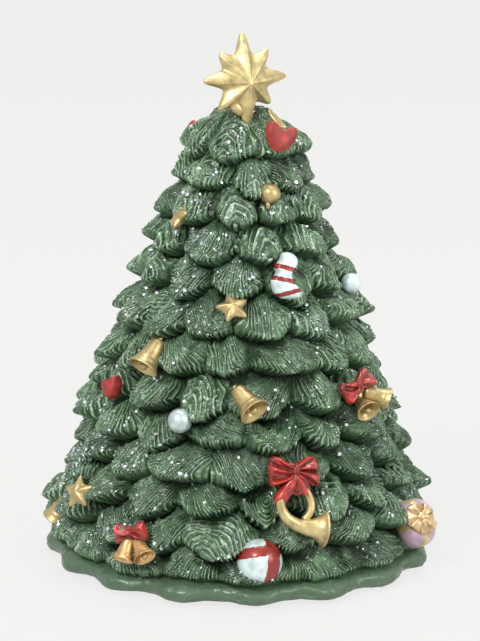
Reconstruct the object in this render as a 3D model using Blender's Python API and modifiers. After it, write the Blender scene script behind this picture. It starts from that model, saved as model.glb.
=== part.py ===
"""Christmas tree music box: a hand-painted resin tree with glued-on ornaments, and the
18-note spring movement that stands in the cavity under it.

Metres, +Z up. The origin is the centre of the base, on the surface that the tree stands on.
The front of the tree faces -Y, and an azimuth of 0 is the front, growing towards +X.
"""

import math

import bmesh
import bpy
import numpy as np
from mathutils import Matrix, Vector

MM = 0.001
TAU = 2 * math.pi

# Clearances
SEAT = 0.3 * MM          # between pieces that rest on each other
FIT = 0.15 * MM          # between a pin or screw and its hole
RUN = 0.12 * MM          # between a turning journal and its bearing

# Each tier of tufts: height and radius of its tips
TIERS = [
    (126.5 * MM, 19.4 * MM),
    (117.0 * MM, 21.6 * MM),
    (107.5 * MM, 25.6 * MM),
    (98.0 * MM, 28.8 * MM),
    (87.5 * MM, 32.0 * MM),
    (76.5 * MM, 37.2 * MM),
    (65.5 * MM, 42.2 * MM),
    (55.0 * MM, 44.6 * MM),
    (45.5 * MM, 48.2 * MM),
    (36.0 * MM, 51.0 * MM),
    (26.5 * MM, 54.0 * MM),
    (17.2 * MM, 57.2 * MM),
    (8.2 * MM, 58.2 * MM),
]
# and how they stand round the tree: number of tufts, azimuth of one of them in degrees
TUFT_TURNS = [
    (7, -13), (8, 8), (9, -10), (10, 14), (12, -3), (13, 13), (14, -4), (15, 9), (16, -11), (16, 1), (17, 9), (17, -4),
    (17, 6),
]
RIBS = 3                   # main ribs down one tuft
TUFT_COLUMNS = 2 * RIBS    # points round one tuft
RIB_HEIGHT = 0.45 * MM
SLENDER_RADIUS = 33.0 * MM # tiers narrower than this have shallower gaps and undersides
VALLEY_DEPTH = 6.8 * MM    # how far the gap between two tufts lies behind their tips
VALLEY_RISE = 1.8 * MM     # and how far above them
TUFT_CROWN = 1.5 * MM      # how far a tuft swells between its root and its lip
LIP_HEIGHT = 2.0 * MM      # from the tip of a tuft up to the edge of its lip
LIP_BACK = 0.9 * MM
UNDERCUT = 8.0 * MM        # how far the underside of a tuft runs in
UNDER_DROP = 4.6 * MM      # and down
TIP_SPREAD = 2.0 * MM      # how far single tufts stand out of line
DROOP_SPREAD = 2.0 * MM
FOOT_SHARE = 0.35          # depth of the gaps and undersides of the lowest tier, as a share
EDGE_SPREAD = 0.2          # how far the gaps between tufts are moved aside, in tufts

# Overall sizes of the tree
TOP_RADIUS = 7.4 * MM
CROWN_RISE = 10.9 * MM     # from the tips of the first tier up to the top
TOP_HEIGHT = TIERS[0][0] + CROWN_RISE
SKIRT_REACH = 1.0 * MM
BASE_RADIUS = TIERS[-1][1] + SKIRT_REACH
BASE_LOBES = 16
BASE_LOBE_DEPTH = 2.6 * MM
BASE_LOBE_RISE = 0.6 * MM
BASE_LOBE_AZIMUTH_DEGREES = 5.0
SKIRT_HEIGHT = 5.4 * MM

# The star on the top
STAR_RISE = 24.7 * MM      # from the top of the tree to the tip of the star
STAR_TIP_HEIGHT = TOP_HEIGHT + STAR_RISE
STAR_ARM = 13.9 * MM
STAR_SHORT_ARM = 12.4 * MM
STAR_NOTCH = 6.6 * MM
STAR_THICKNESS = 9.4 * MM
STAR_YAW = 25
STAR_LEAN = 10
STAR_FORWARD = 7.2 * MM
STAR_PEG_RADIUS = 1.8 * MM
STAR_PEG_DEPTH = 6.0 * MM
STAR_PEG_Y = 4.4 * MM

# Cavity under the tree, for the movement
FELT_THICKNESS = 0.8 * MM
FELT_MARGIN = 7.2 * MM      # from the edge of the foot to the felt
FELT_OUTER_RADIUS = BASE_RADIUS - FELT_MARGIN
RECESS_RADIUS = 41.0 * MM
CAVITY_RADIUS = 36.0 * MM
CAVITY_TOP = 43.0 * MM
CAVITY_CHAMFER = 5.0 * MM
SHELF_HEIGHT = 17.0 * MM
COVER_THICKNESS = 2.5 * MM
RIM_HEIGHT = FELT_THICKNESS + SEAT
COVER_TOP = SHELF_HEIGHT - SEAT
COVER_BOTTOM = COVER_TOP - COVER_THICKNESS

# Screws: shank radius, head radius, head height
COVER_SCREW = (1.1 * MM, 2.3 * MM, 1.3 * MM)
COVER_SCREW_CIRCLE = 38.4 * MM
COVER_SCREW_LENGTH = 8.0 * MM
MOVEMENT_SCREW = (1.3 * MM, 2.6 * MM, 1.4 * MM)
COMB_SCREW = (0.9 * MM, 1.7 * MM, 0.9 * MM)

# Movement, laid out round the winding arbor and the drum axis
BED_LENGTH = 56.0 * MM
BED_WIDTH = 37.0 * MM
BED_THICKNESS = 2.5 * MM
BED_BOTTOM = COVER_TOP + SEAT
BED_TOP = BED_BOTTOM + BED_THICKNESS
ARBOR_X = -14.0 * MM
DRUM_Y = 5.0 * MM
ARBOR_RADIUS = 1.6 * MM

# Winding key
KEY_SPAN = 19.0 * MM
KEY_WING_HEIGHT = 8.0 * MM
KEY_THICKNESS = 1.8 * MM
KEY_HUB_RADIUS = 3.1 * MM
KEY_BOTTOM = 3.6 * MM

# Ratchet on the arbor
RATCHET_TEETH = 12
RATCHET_RADIUS = 4.6 * MM
RATCHET_DEPTH = 0.8 * MM
RATCHET_THICKNESS = 1.0 * MM
RATCHET_BOTTOM = BED_TOP + SEAT

# Spring barrel with a crown gear on its rim, which drives the pinion of the drum
CROWN_TEETH = 28
PINION_TEETH = 7
DRIVE_MODULE = 0.84 * MM
CROWN_RADIUS = CROWN_TEETH * DRIVE_MODULE / 2
PINION_RADIUS = PINION_TEETH * DRIVE_MODULE / 2
CROWN_FACE = 1.5 * MM
BARREL_FLOOR = RATCHET_BOTTOM + RATCHET_THICKNESS + SEAT
BARREL_FLANGE = 1.3 * MM
BARREL_RADIUS = 10.4 * MM
BARREL_WALL = 0.8 * MM
BARREL_HEIGHT = 9.6 * MM
SPRING_TURNS = 5
SPRING_THICKNESS = 0.35 * MM
CROWN_PITCH_HEIGHT = BARREL_FLOOR + BARREL_FLANGE + 1.1 * DRIVE_MODULE
DRUM_Z = CROWN_PITCH_HEIGHT + PINION_RADIUS

# Drum, comb and drum gear
NOTES = 18
NOTE_PITCH = 0.94 * MM
DRUM_RADIUS = 6.3 * MM
DRUM_WALL = 1.1 * MM
DRUM_WEB = 1.6 * MM
PIN_LENGTH = 0.8 * MM
PIN_RADIUS = 0.26 * MM
PINS_PER_NOTE = 2
DRUM_START = 0.5 * MM
DRUM_LENGTH = NOTES * NOTE_PITCH + 0.6 * MM
DRUM_ARBOR_RADIUS = 1.0 * MM
DRUM_GEAR_TEETH = 24
TRAIN_MODULE = 0.53 * MM
GOVERNOR_PINION_TEETH = 6
DRUM_GEAR_FACE = 1.2 * MM
DRUM_GEAR_X = DRUM_START + DRUM_LENGTH + FIT
COMB_GAP = 0.2 * MM
COMB_THICKNESS = 0.9 * MM
COMB_SLOT = 0.34 * MM
COMB_BACK_Y = -18.2 * MM
COMB_BASE_DEPTH = 4.6 * MM
TREBLE_TOOTH = 6.0 * MM
BASS_TOOTH = 11.0 * MM

# Governor: a worm wheel on the second arbor turns the upright worm shaft of the fly
WORM_WHEEL_TEETH = 20
WORM_STARTS = 2
WORM_MODULE = 0.45 * MM
WORM_RADIUS = 1.3 * MM
WORM_LENGTH = 5.2 * MM
WORM_ADDENDUM = 0.38 * MM
WORM_DEDENDUM = 0.5 * MM
WORM_THREAD = 0.5 * MM       # thickness of the thread at the pitch line
WORM_SHAFT_RADIUS = 0.55 * MM
GOVERNOR_PLATE = 0.9 * MM
GOVERNOR_WIDTH = 7.2 * MM
WHEEL_FACE = 1.3 * MM
FLY_SPAN = 6.2 * MM
FLY_HEIGHT = 4.0 * MM
FLY_THICKNESS = 0.5 * MM

PRESSURE_ANGLE = math.radians(22)

# Ornaments
HEART_THICKNESS = 3.6 * MM
SMALL_STAR_ARM = 4.8 * MM
SMALL_STAR_NOTCH = 2.4 * MM
SMALL_STAR_THICKNESS = 4.0 * MM
BELL_LENGTH = 9.6 * MM
BELL_MOUTH = 4.5 * MM
PAIR_LEAN = 20              # how far the mouths of a pair of bells come forward
STOCKING_HEIGHT = 14.4 * MM
HORN_WIDTH = 15.0 * MM
HORN_BOW_SPAN = 15.0 * MM
PARCEL_RADIUS = 5.8 * MM

GREEN = ((0.045, 0.16, 0.06), 0.4, 0.15)
GOLD = ((0.72, 0.5, 0.17), 0.32, 0.85)
RED = ((0.5, 0.02, 0.025), 0.3, 0.1)
WHITE = ((0.72, 0.82, 0.82), 0.25, 0.2)
PINK = ((0.66, 0.42, 0.56), 0.3, 0.2)
FELT = ((0.03, 0.09, 0.04), 0.95, 0.0)
BLACK_PLASTIC = ((0.02, 0.02, 0.022), 0.5, 0.0)
STEEL = ((0.55, 0.55, 0.56), 0.3, 1.0)
BRASS = ((0.7, 0.5, 0.2), 0.3, 1.0)
ZINC = ((0.5, 0.51, 0.52), 0.45, 0.9)


# Scene helpers

for old in list(bpy.data.objects):
    bpy.data.objects.remove(old)
parts = bpy.data.collections.new("christmas_tree_music_box")
cutters = bpy.data.collections.new("cutters")
bpy.context.scene.collection.children.link(parts)
bpy.context.scene.collection.children.link(cutters)


def paint(obj, name, look):
    """A Principled material of one colour, roughness and metallic value, made once."""
    material = bpy.data.materials.get(name)
    if material is None:
        colour, roughness, metallic = look
        material = bpy.data.materials.new(name)
        material.use_nodes = True
        shader = material.node_tree.nodes["Principled BSDF"]
        shader.inputs["Base Color"].default_value = (*colour, 1)
        shader.inputs["Roughness"].default_value = roughness
        shader.inputs["Metallic"].default_value = metallic
    obj.data.materials.clear()
    obj.data.materials.append(material)
    return obj


def add_mesh(name, build, smooth=True):
    """An object whose mesh the function build fills as a bmesh."""
    bm = bmesh.new()
    build(bm)
    bmesh.ops.recalc_face_normals(bm, faces=bm.faces)
    mesh = bpy.data.meshes.new(name)
    bm.to_mesh(mesh)
    bm.free()
    obj = bpy.data.objects.new(name, mesh)
    parts.objects.link(obj)
    if smooth:
        mesh.shade_smooth()
        mesh.set_sharp_from_angle(angle=math.radians(40))
    return obj


def evaluated_mesh(obj):
    """The object's shape with its modifiers, as a new welded mesh in world space."""
    bpy.context.view_layer.update()
    graph = bpy.context.evaluated_depsgraph_get()
    mesh = bpy.data.meshes.new_from_object(obj.evaluated_get(graph))
    mesh.transform(obj.matrix_world)
    bm = bmesh.new()
    bm.from_mesh(mesh)
    bmesh.ops.remove_doubles(bm, verts=bm.verts, dist=1e-7)
    bm.to_mesh(mesh)
    bm.free()
    return mesh


def as_mesh(obj):
    """Turns a curve, or a mesh with modifiers, into a plain mesh object of the same name."""
    name = obj.name
    mesh = evaluated_mesh(obj)
    bpy.data.objects.remove(obj)
    mesh.name = name
    made = bpy.data.objects.new(name, mesh)
    parts.objects.link(made)
    return made


def combine(obj, others, operation):
    """Joins or cuts obj with others, one after another, and keeps the result as its mesh."""
    for other in others:
        modifier = obj.modifiers.new(other.name, "BOOLEAN")
        modifier.object = other
        modifier.operation = operation
        modifier.solver = "EXACT"
    made = as_mesh(obj)
    for other in others:
        mesh = other.data
        bpy.data.objects.remove(other)
        if mesh.users == 0 and isinstance(mesh, bpy.types.Mesh):
            bpy.data.meshes.remove(mesh)
    return made


def join(obj, *others):
    return combine(obj, others, "UNION")


def cut(obj, *others):
    return combine(obj, others, "DIFFERENCE")


def turn_about(obj, x, y, z=0.0):
    """Moves the origin of a mesh piece onto the axis that the piece turns about."""
    obj.data.transform(Matrix.Translation((-x, -y, -z)))
    obj.matrix_world = Matrix.Translation((x, y, z))
    return obj


def copy_grown(obj, name, gap):
    """A hidden copy of a mesh object, swollen by gap, that cuts its neighbours to fit it."""
    copy = bpy.data.objects.new(name, obj.data.copy())
    cutters.objects.link(copy)
    swell = copy.modifiers.new("swell", "DISPLACE")
    swell.direction = "NORMAL"
    swell.mid_level = 0
    swell.strength = gap
    copy.hide_render = True
    copy.display_type = "WIRE"
    return copy


def keep_largest_body(obj):
    """Deletes the slivers that a cut has parted from the main body of a mesh."""
    bm = bmesh.new()
    bm.from_mesh(obj.data)
    left = set(bm.faces)
    bodies = []
    while left:
        body = {left.pop()}
        edge_of_body = list(body)
        while edge_of_body:
            face = edge_of_body.pop()
            for edge in face.edges:
                for near in edge.link_faces:
                    if near in left:
                        left.remove(near)
                        body.add(near)
                        edge_of_body.append(near)
        bodies.append(body)
    bodies.sort(key=lambda body: sum(face.calc_area() for face in body))
    for body in bodies[:-1]:
        bmesh.ops.delete(bm, geom=list(body), context="FACES")
    bm.to_mesh(obj.data)
    bm.free()
    return obj


# Shapes

def box(name, low, high):
    """A box between two corners."""
    low, high = Vector(low), Vector(high)

    def build(bm):
        place = Matrix.Translation((low + high) / 2)
        bmesh.ops.create_cube(bm, size=1, matrix=place @ Matrix.Diagonal((*(high - low), 1)))

    return add_mesh(name, build, smooth=False)


def rod(name, start, end, radius, sides=16, end_radius=None):
    """A round rod, or a cone if end_radius differs, between two points."""
    start, end = Vector(start), Vector(end)
    along = end - start

    def build(bm):
        place = Matrix.Translation((start + end) / 2) @ along.to_track_quat("Z", "Y").to_matrix().to_4x4()
        bmesh.ops.create_cone(
            bm, cap_ends=True, segments=sides, radius1=radius,
            radius2=radius if end_radius is None else end_radius, depth=along.length, matrix=place,
        )

    return add_mesh(name, build)


def turned(name, profile, place=Matrix(), steps=24):
    """A solid of revolution about local Z. The profile runs down the outside, top to bottom."""
    mesh = bpy.data.meshes.new(name)
    mesh.from_pydata([(radius, 0, height) for radius, height in profile],
                     [(i, i + 1) for i in range(len(profile) - 1)], [])
    obj = bpy.data.objects.new(name, mesh)
    parts.objects.link(obj)
    screw = obj.modifiers.new("turn", "SCREW")
    screw.steps = screw.render_steps = steps
    screw.use_merge_vertices = True
    screw.merge_threshold = 1e-6
    obj.matrix_world = place
    return as_mesh(obj)


def plate(name, outlines, thickness, place=Matrix(), bevel=0.0):
    """A flat piece from closed outlines, the first the rim and the others holes, centred on local Z."""
    curve = bpy.data.curves.new(name, "CURVE")
    curve.dimensions = "2D"
    curve.fill_mode = "BOTH"
    curve.extrude = thickness / 2 - bevel
    curve.bevel_depth = bevel
    curve.bevel_resolution = 0
    for outline in outlines:
        spline = curve.splines.new("POLY")
        spline.points.add(len(outline) - 1)
        for point, (x, y) in zip(spline.points, outline):
            point.co = (x, y, 0, 1)
        spline.use_cyclic_u = True
    obj = bpy.data.objects.new(name, curve)
    parts.objects.link(obj)
    obj.matrix_world = place
    return obj


def circle(radius, sides=16, centre=(0, 0)):
    return [
        (centre[0] + radius * math.cos(TAU * i / sides), centre[1] + radius * math.sin(TAU * i / sides))
        for i in range(sides)
    ]


def ball(name, place, radius, sides=10, rings=7):
    def build(bm):
        bmesh.ops.create_uvsphere(bm, u_segments=sides, v_segments=rings, radius=radius, matrix=place)

    return add_mesh(name, build)


def twisted_prism(name, outline, length, twist, layers, place=Matrix()):
    """An outline carried along local Z while it turns by twist radians: a screw thread or a helical wheel."""
    count = len(outline)

    def build(bm):
        rings = []
        for layer in range(layers + 1):
            share = layer / layers
            turn = Matrix.Rotation(twist * (share - 0.5), 4, "Z")
            lift = Vector((0, 0, length * (share - 0.5)))
            rings.append([bm.verts.new(place @ (turn @ Vector((x, y, 0)) + lift)) for x, y in outline])
        for low, high in zip(rings, rings[1:]):
            for i in range(count):
                j = (i + 1) % count
                bm.faces.new((low[i], low[j], high[j], high[i]))
        bm.faces.new(rings[0][::-1])
        bm.faces.new(rings[-1])

    return add_mesh(name, build)


ALONG_X = Matrix.Rotation(math.pi / 2, 4, "Y")   # carries local Z to +X, and local X to -Z


def at(x, y, z, turn=Matrix()):
    return Matrix.Translation((x, y, z)) @ turn


# Gears

def involute(angle):
    return math.tan(angle) - angle


def gear_outline(teeth, module, backlash, start=0.0, addendum=0.85, dedendum=1.2, middle=True):
    """Spur gear outline with involute flanks. Tooth 0 is centred on the angle start.
    Without a middle point, the flanks run straight from foot to tip."""
    pitch = teeth * module / 2
    base = pitch * math.cos(PRESSURE_ANGLE)
    heights = [pitch - dedendum * module, pitch, pitch + addendum * module]
    if not middle:
        heights.remove(pitch)
    half_at_pitch = math.pi / (2 * teeth) - backlash / (2 * pitch)
    flank = []
    for radius in heights:
        half = half_at_pitch + involute(PRESSURE_ANGLE)
        if radius > base:
            half -= involute(math.acos(base / radius))
        flank.append((radius, half))
    outline = []
    for tooth in range(teeth):
        centre = start + TAU * tooth / teeth
        for side, points in ((-1, flank), (1, flank[::-1])):
            for radius, half in points:
                angle = centre + side * half
                outline.append((radius * math.cos(angle), radius * math.sin(angle)))
    return outline


def worm_outline():
    """Section of the worm square to its axis: one lobe for each start, the first centred on local X."""
    lead = WORM_STARTS * math.pi * WORM_MODULE
    slope = math.tan(PRESSURE_ANGLE)
    outline = []
    for start in range(WORM_STARTS):
        middle = TAU * start / WORM_STARTS
        for offset, side in ((-WORM_DEDENDUM, -1), (WORM_ADDENDUM, -1), (WORM_ADDENDUM, 1), (-WORM_DEDENDUM, 1)):
            width = WORM_THREAD - 2 * offset * slope
            angle = middle + side * width / 2 * TAU / lead
            radius = WORM_RADIUS + offset
            outline.append((radius * math.cos(angle), radius * math.sin(angle)))
    return outline


# The tree

def scatter(tier, tuft, kind):
    """A fixed number from -1 to 1 for one tuft, so that the tufts aren't all alike."""
    value = math.sin(tier * 12.9898 + tuft * 78.233 + kind * 37.719) * 43758.5453
    return 2 * (value - math.floor(value)) - 1


def tuft_edge(tier, tuft):
    """Where the gap before a tuft lies, in tufts from the first one."""
    return tuft + EDGE_SPREAD * scatter(tier, tuft % TUFT_TURNS[tier][0], 3)


def tuft_fraction(tier, azimuth):
    """(index of the tuft at this azimuth, place across it from -0.5 to 0.5)."""
    count, first = TUFT_TURNS[tier]
    turns = (azimuth - math.radians(first)) * count / TAU + 0.5
    tuft = math.floor(turns)
    tuft += (turns >= tuft_edge(tier, tuft + 1)) - (turns < tuft_edge(tier, tuft))
    low, high = tuft_edge(tier, tuft), tuft_edge(tier, tuft + 1)
    return tuft % count, (turns - low) / (high - low) - 0.5


def tuft_swell(across):
    """1 on the middle line of a tuft, 0 in the valley beside it, with the outline of a blunt tongue."""
    return max(0.0, math.cos(math.pi * across)) ** 1.1


def fullness(tier):
    """How deep the gaps and undersides of a tier are, as a share of the full depth."""
    return FOOT_SHARE if tier == len(TIERS) - 1 else min(1.0, TIERS[tier][1] / SLENDER_RADIUS)


def lip_point(tier, azimuth):
    """(radius, height, swell) of the outermost line of a tier at an azimuth."""
    height, radius = TIERS[tier]
    tuft, across = tuft_fraction(tier, azimuth)
    swell = tuft_swell(across)
    radius += TIP_SPREAD * scatter(tier, tuft, 1) * swell - VALLEY_DEPTH * fullness(tier) * (1 - swell)
    height += DROOP_SPREAD * fullness(tier) * scatter(tier, tuft, 2) * swell + VALLEY_RISE * fullness(tier) * (1 - swell)
    return radius, height, swell


def corner_point(tier, azimuth):
    """(radius, height) where the underside of a tier ends and the next tier comes out."""
    radius, height, swell = lip_point(tier, azimuth)
    share = (0.35 + 0.65 * swell) * fullness(tier)
    return radius - UNDERCUT * share, height - UNDER_DROP * share


def root_point(tier, azimuth):
    """(radius, height) where the tufts of a tier start."""
    if tier == 0:
        return TOP_RADIUS + 1 * MM, TOP_HEIGHT - 2 * MM
    return corner_point(tier - 1, azimuth)


def rib_height(tier, azimuth):
    """Height of the main ribs at an azimuth: a cosine across the tuft, highest on its middle line."""
    _, across = tuft_fraction(tier, azimuth)
    return RIB_HEIGHT * math.cos(TAU * RIBS * across)


def crown_point(tier, azimuth, share):
    """(radius, height) on the face of a tuft, share of the way from its root to the edge of its lip."""
    root_radius, root_height = root_point(tier, azimuth)
    lip_radius, lip_height, swell = lip_point(tier, azimuth)
    end_radius, end_height = lip_radius - LIP_BACK, lip_height + LIP_HEIGHT
    out = TUFT_CROWN * math.sin(math.pi * share) * swell * (1 if tier else 0.1)
    out += rib_height(tier, azimuth)
    radius = root_radius + (end_radius - root_radius) * share + 0.7 * out
    height = root_height + (end_height - root_height) * share + 0.7 * out
    return radius, height


def tier_azimuths(tier):
    """Azimuths of the points round a tier: TUFT_COLUMNS for each tuft, one of them in the gap beside it."""
    count, first = TUFT_TURNS[tier]
    turns = []
    for tuft in range(count):
        low, high = tuft_edge(tier, tuft), tuft_edge(tier, tuft + 1)
        turns += [low + (high - low) * column / TUFT_COLUMNS for column in range(TUFT_COLUMNS)]
    return sorted((math.radians(first) + TAU * (turn - 0.5) / count) % TAU for turn in turns)


def on_azimuth(radius, azimuth, height):
    return Vector((radius * math.sin(azimuth), -radius * math.cos(azimuth), height))


def base_wave(azimuth):
    """0 at the middle of each lobe of the base, 1 between two lobes."""
    return (1 - math.cos(BASE_LOBES * (azimuth - math.radians(BASE_LOBE_AZIMUTH_DEGREES)))) / 2


def base_point(azimuth, inset, height):
    return BASE_RADIUS - inset - BASE_LOBE_DEPTH * base_wave(azimuth), height + BASE_LOBE_RISE * base_wave(azimuth)


def tree_rings():
    """The rings of the loft from the top of the tree to its base, each as (azimuths, points)."""
    rings = []

    def ring(azimuths, place):
        rings.append((azimuths, [on_azimuth(place(a)[0], a, place(a)[1]) for a in azimuths]))

    first = tier_azimuths(0)
    ring(first, lambda a: (TOP_RADIUS, TOP_HEIGHT - 0.8 * MM))
    for tier in range(len(TIERS)):
        azimuths = tier_azimuths(tier)
        ring(azimuths, lambda a: crown_point(tier, a, 0.5))
        ring(azimuths, lambda a: crown_point(tier, a, 1))
        ring(azimuths, lambda a: lip_point(tier, a)[:2])
        ring(azimuths, lambda a: corner_point(tier, a))
    steps = BASE_LOBES * 3
    around = [math.radians(BASE_LOBE_AZIMUTH_DEGREES) + TAU * i / steps for i in range(steps)]
    ring(around, lambda a: base_point(a, 1.6 * MM, SKIRT_HEIGHT))
    ring(around, lambda a: base_point(a, 0, SKIRT_HEIGHT * 0.5))
    ring(around, lambda a: base_point(a, 0.6 * MM, RIM_HEIGHT))
    ring(around, lambda a: (FELT_OUTER_RADIUS + 1 * MM, RIM_HEIGHT))
    return rings


def loft(name, rings, top):
    """Skins rings of unlike counts, each strip walking round both rings by azimuth."""

    def build(bm):
        made = [(azimuths, [bm.verts.new(p) for p in points]) for azimuths, points in rings]
        peak = bm.verts.new(top)
        verts = made[0][1]
        for i, vert in enumerate(verts):
            bm.faces.new((peak, vert, verts[(i + 1) % len(verts)]))
        for (high_azimuths, high), (low_azimuths, low) in zip(made, made[1:]):
            i = j = 0
            while i < len(high) or j < len(low):
                next_high = high_azimuths[i + 1] if i + 1 < len(high) else TAU + high_azimuths[0]
                next_low = low_azimuths[j + 1] if j + 1 < len(low) else TAU + low_azimuths[0]
                a, b = high[i % len(high)], low[j % len(low)]
                if j >= len(low) or (i < len(high) and next_high <= next_low):
                    bm.faces.new((a, high[(i + 1) % len(high)], b))
                    i += 1
                else:
                    bm.faces.new((a, low[(j + 1) % len(low)], b))
                    j += 1
        bm.faces.new(made[-1][1])

    return add_mesh(name, build)


def cover_screw_places():
    return [on_azimuth(COVER_SCREW_CIRCLE, math.radians(30 + 120 * i), 0) for i in range(3)]


def star_place():
    """The star stands on the front of the top, faces a little to the right and leans back."""
    turn = Matrix.Rotation(math.radians(STAR_YAW), 4, "Z") @ Matrix.Rotation(math.radians(-STAR_LEAN), 4, "X")
    return at(0, -STAR_FORWARD, STAR_TIP_HEIGHT - STAR_ARM * math.cos(math.radians(STAR_LEAN)), turn)


def make_tree():
    """The resin casting, hollowed from below, and a swollen copy of its outside that fits the ornaments to it."""
    tree = loft("tree_casting", tree_rings(), Vector((0, 0, TOP_HEIGHT)))
    outside = copy_grown(tree, "foliage_fit", SEAT + 0.05 * MM)
    cavity = turned("cavity", [
        (0, CAVITY_TOP),
        (CAVITY_RADIUS - CAVITY_CHAMFER, CAVITY_TOP),
        (CAVITY_RADIUS, CAVITY_TOP - CAVITY_CHAMFER),
        (CAVITY_RADIUS, SHELF_HEIGHT),
        (RECESS_RADIUS, SHELF_HEIGHT),
        (RECESS_RADIUS, 0),
        (0, 0),
    ], steps=32)
    holes = [
        rod("hole", p + Vector((0, 0, COVER_BOTTOM)), p + Vector((0, 0, SHELF_HEIGHT + COVER_SCREW_LENGTH)),
            COVER_SCREW[0] + FIT, 8)
        for p in cover_screw_places()
    ]
    peg_hole = rod("peg_hole", (0, -STAR_PEG_Y, TOP_HEIGHT - STAR_PEG_DEPTH), (0, -STAR_PEG_Y, TOP_HEIGHT + 5 * MM),
                   STAR_PEG_RADIUS + FIT, 8)
    tree = cut(tree, cavity, *holes, peg_hole)
    return paint(tree, "green_paint", GREEN), outside


# The underside

def screw(name, place, kind, length):
    """A pan-head screw: its head below the origin and its shank up local +Z."""
    shank, head, height = kind
    body = turned(name, [
        (0, length), (shank, length), (shank, 0), (head, 0), (0.75 * head, -height), (0, -height),
    ], place, steps=8)
    return paint(body, "steel", STEEL)


def movement_screw_places():
    x, y = BED_LENGTH / 2 - 3.5 * MM, BED_WIDTH / 2 - 3.5 * MM
    return [(-x, -y), (x, y), (x - 1.0 * MM, 0.6 * MM - y)]


def make_underside():
    felt = plate("felt_ring", [circle(FELT_OUTER_RADIUS, 28), circle(RECESS_RADIUS + 1 * MM, 28)[::-1]],
                 FELT_THICKNESS, at(0, 0, FELT_THICKNESS / 2))
    paint(felt, "felt", FELT)
    holes = [circle(ARBOR_RADIUS + 0.9 * MM, 16, (ARBOR_X, DRUM_Y))]
    holes += [circle(COVER_SCREW[0] + FIT, 8, p[:2]) for p in cover_screw_places()]
    holes += [circle(MOVEMENT_SCREW[0] + FIT, 8, p) for p in movement_screw_places()]
    cover = plate("bottom_cover", [circle(RECESS_RADIUS - SEAT, 32), *[hole[::-1] for hole in holes]],
                  COVER_THICKNESS, at(0, 0, (COVER_TOP + COVER_BOTTOM) / 2))
    paint(cover, "black_plastic", BLACK_PLASTIC)
    for i, p in enumerate(cover_screw_places()):
        screw(f"cover_screw_{i + 1}", at(p.x, p.y, COVER_BOTTOM - FIT), COVER_SCREW,
              COVER_THICKNESS + COVER_SCREW_LENGTH - 1 * MM)
    for i, (x, y) in enumerate(movement_screw_places()):
        screw(f"movement_screw_{i + 1}", at(x, y, COVER_BOTTOM - FIT), MOVEMENT_SCREW,
              COVER_THICKNESS + BED_THICKNESS)


# The movement

def comb_rail():
    """(low corner, high corner) of the raised seat that the comb is screwed to."""
    top = DRUM_Z - COMB_THICKNESS / 2 - FIT
    return ((DRUM_START - 1.5 * MM, COMB_BACK_Y, BED_BOTTOM + 0.5 * MM),
            (DRUM_START + DRUM_LENGTH - 0.6 * MM, COMB_BACK_Y + COMB_BASE_DEPTH - 0.4 * MM, top))


def comb_screw_places():
    low, high = comb_rail()
    y = COMB_BACK_Y + COMB_BASE_DEPTH / 2
    return [(low[0] + 3.2 * MM, y), (high[0] - 3.2 * MM, y)]


def make_bedplate():
    """Die-cast bedplate with a window under the drum, the comb rail and its screw holes."""
    half_x, half_y, round_off = BED_LENGTH / 2, BED_WIDTH / 2, 3 * MM
    rim = [
        (sx * (half_x - round_off) + round_off * math.cos(a), sy * (half_y - round_off) + round_off * math.sin(a))
        for sx, sy, quarter in ((1, 1, 0), (-1, 1, 1), (-1, -1, 2), (1, -1, 3))
        for a in (quarter * math.pi / 2 + step * math.pi / 6 for step in range(4))
    ]
    reach = DRUM_RADIUS + PIN_LENGTH
    window = [(DRUM_START - 0.2 * MM, DRUM_Y + reach), (DRUM_START - 0.2 * MM, DRUM_Y - reach),
              (DRUM_GEAR_X + DRUM_GEAR_FACE + 0.4 * MM, DRUM_Y - reach),
              (DRUM_GEAR_X + DRUM_GEAR_FACE + 0.4 * MM, DRUM_Y + reach)]
    holes = [circle(ARBOR_RADIUS + RUN, 16, (ARBOR_X, DRUM_Y))[::-1]]
    holes += [circle(MOVEMENT_SCREW[0] + FIT, 8, p)[::-1] for p in movement_screw_places()]
    bed = as_mesh(plate("bedplate", [rim, window, *holes], BED_THICKNESS, at(0, 0, BED_BOTTOM + BED_THICKNESS / 2)))
    bed = join(bed, box("rail", *comb_rail()))
    screws = [rod("hole", (x, y, BED_BOTTOM + 1.2 * MM), (x, y, DRUM_Z), COMB_SCREW[0] + FIT, 10)
              for x, y in comb_screw_places()]
    return paint(cut(bed, *screws), "zinc", ZINC)


def make_comb():
    """Steel comb: eighteen teeth cut from one plate, long on the bass side and short on the treble side."""
    tip_y = DRUM_Y - DRUM_RADIUS - PIN_LENGTH - COMB_GAP
    first = DRUM_START + 0.3 * MM
    outline = [(comb_rail()[0][0], COMB_BACK_Y), (comb_rail()[0][0], tip_y - BASS_TOOTH)]
    for note in range(NOTES):
        left = first + note * NOTE_PITCH
        length = BASS_TOOTH + (TREBLE_TOOTH - BASS_TOOTH) * note / (NOTES - 1)
        outline += [(left, tip_y - length), (left, tip_y), (left + NOTE_PITCH - COMB_SLOT, tip_y),
                    (left + NOTE_PITCH - COMB_SLOT, tip_y - length)]
    end = comb_rail()[1][0]
    outline += [(end, tip_y - TREBLE_TOOTH - 3 * MM), (end, COMB_BACK_Y)]
    holes = [circle(COMB_SCREW[0] + FIT, 10, p) for p in comb_screw_places()]
    comb = plate("comb", [outline[::-1], *[hole[::-1] for hole in holes]], COMB_THICKNESS, at(0, 0, DRUM_Z))
    paint(comb, "steel", STEEL)
    turn_over = Matrix.Rotation(math.pi, 4, "X")
    for i, (x, y) in enumerate(comb_screw_places()):
        place = at(x, y, DRUM_Z + COMB_THICKNESS / 2 + FIT, turn_over)
        screw(f"comb_screw_{i + 1}", place, COMB_SCREW, 3.4 * MM)


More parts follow.
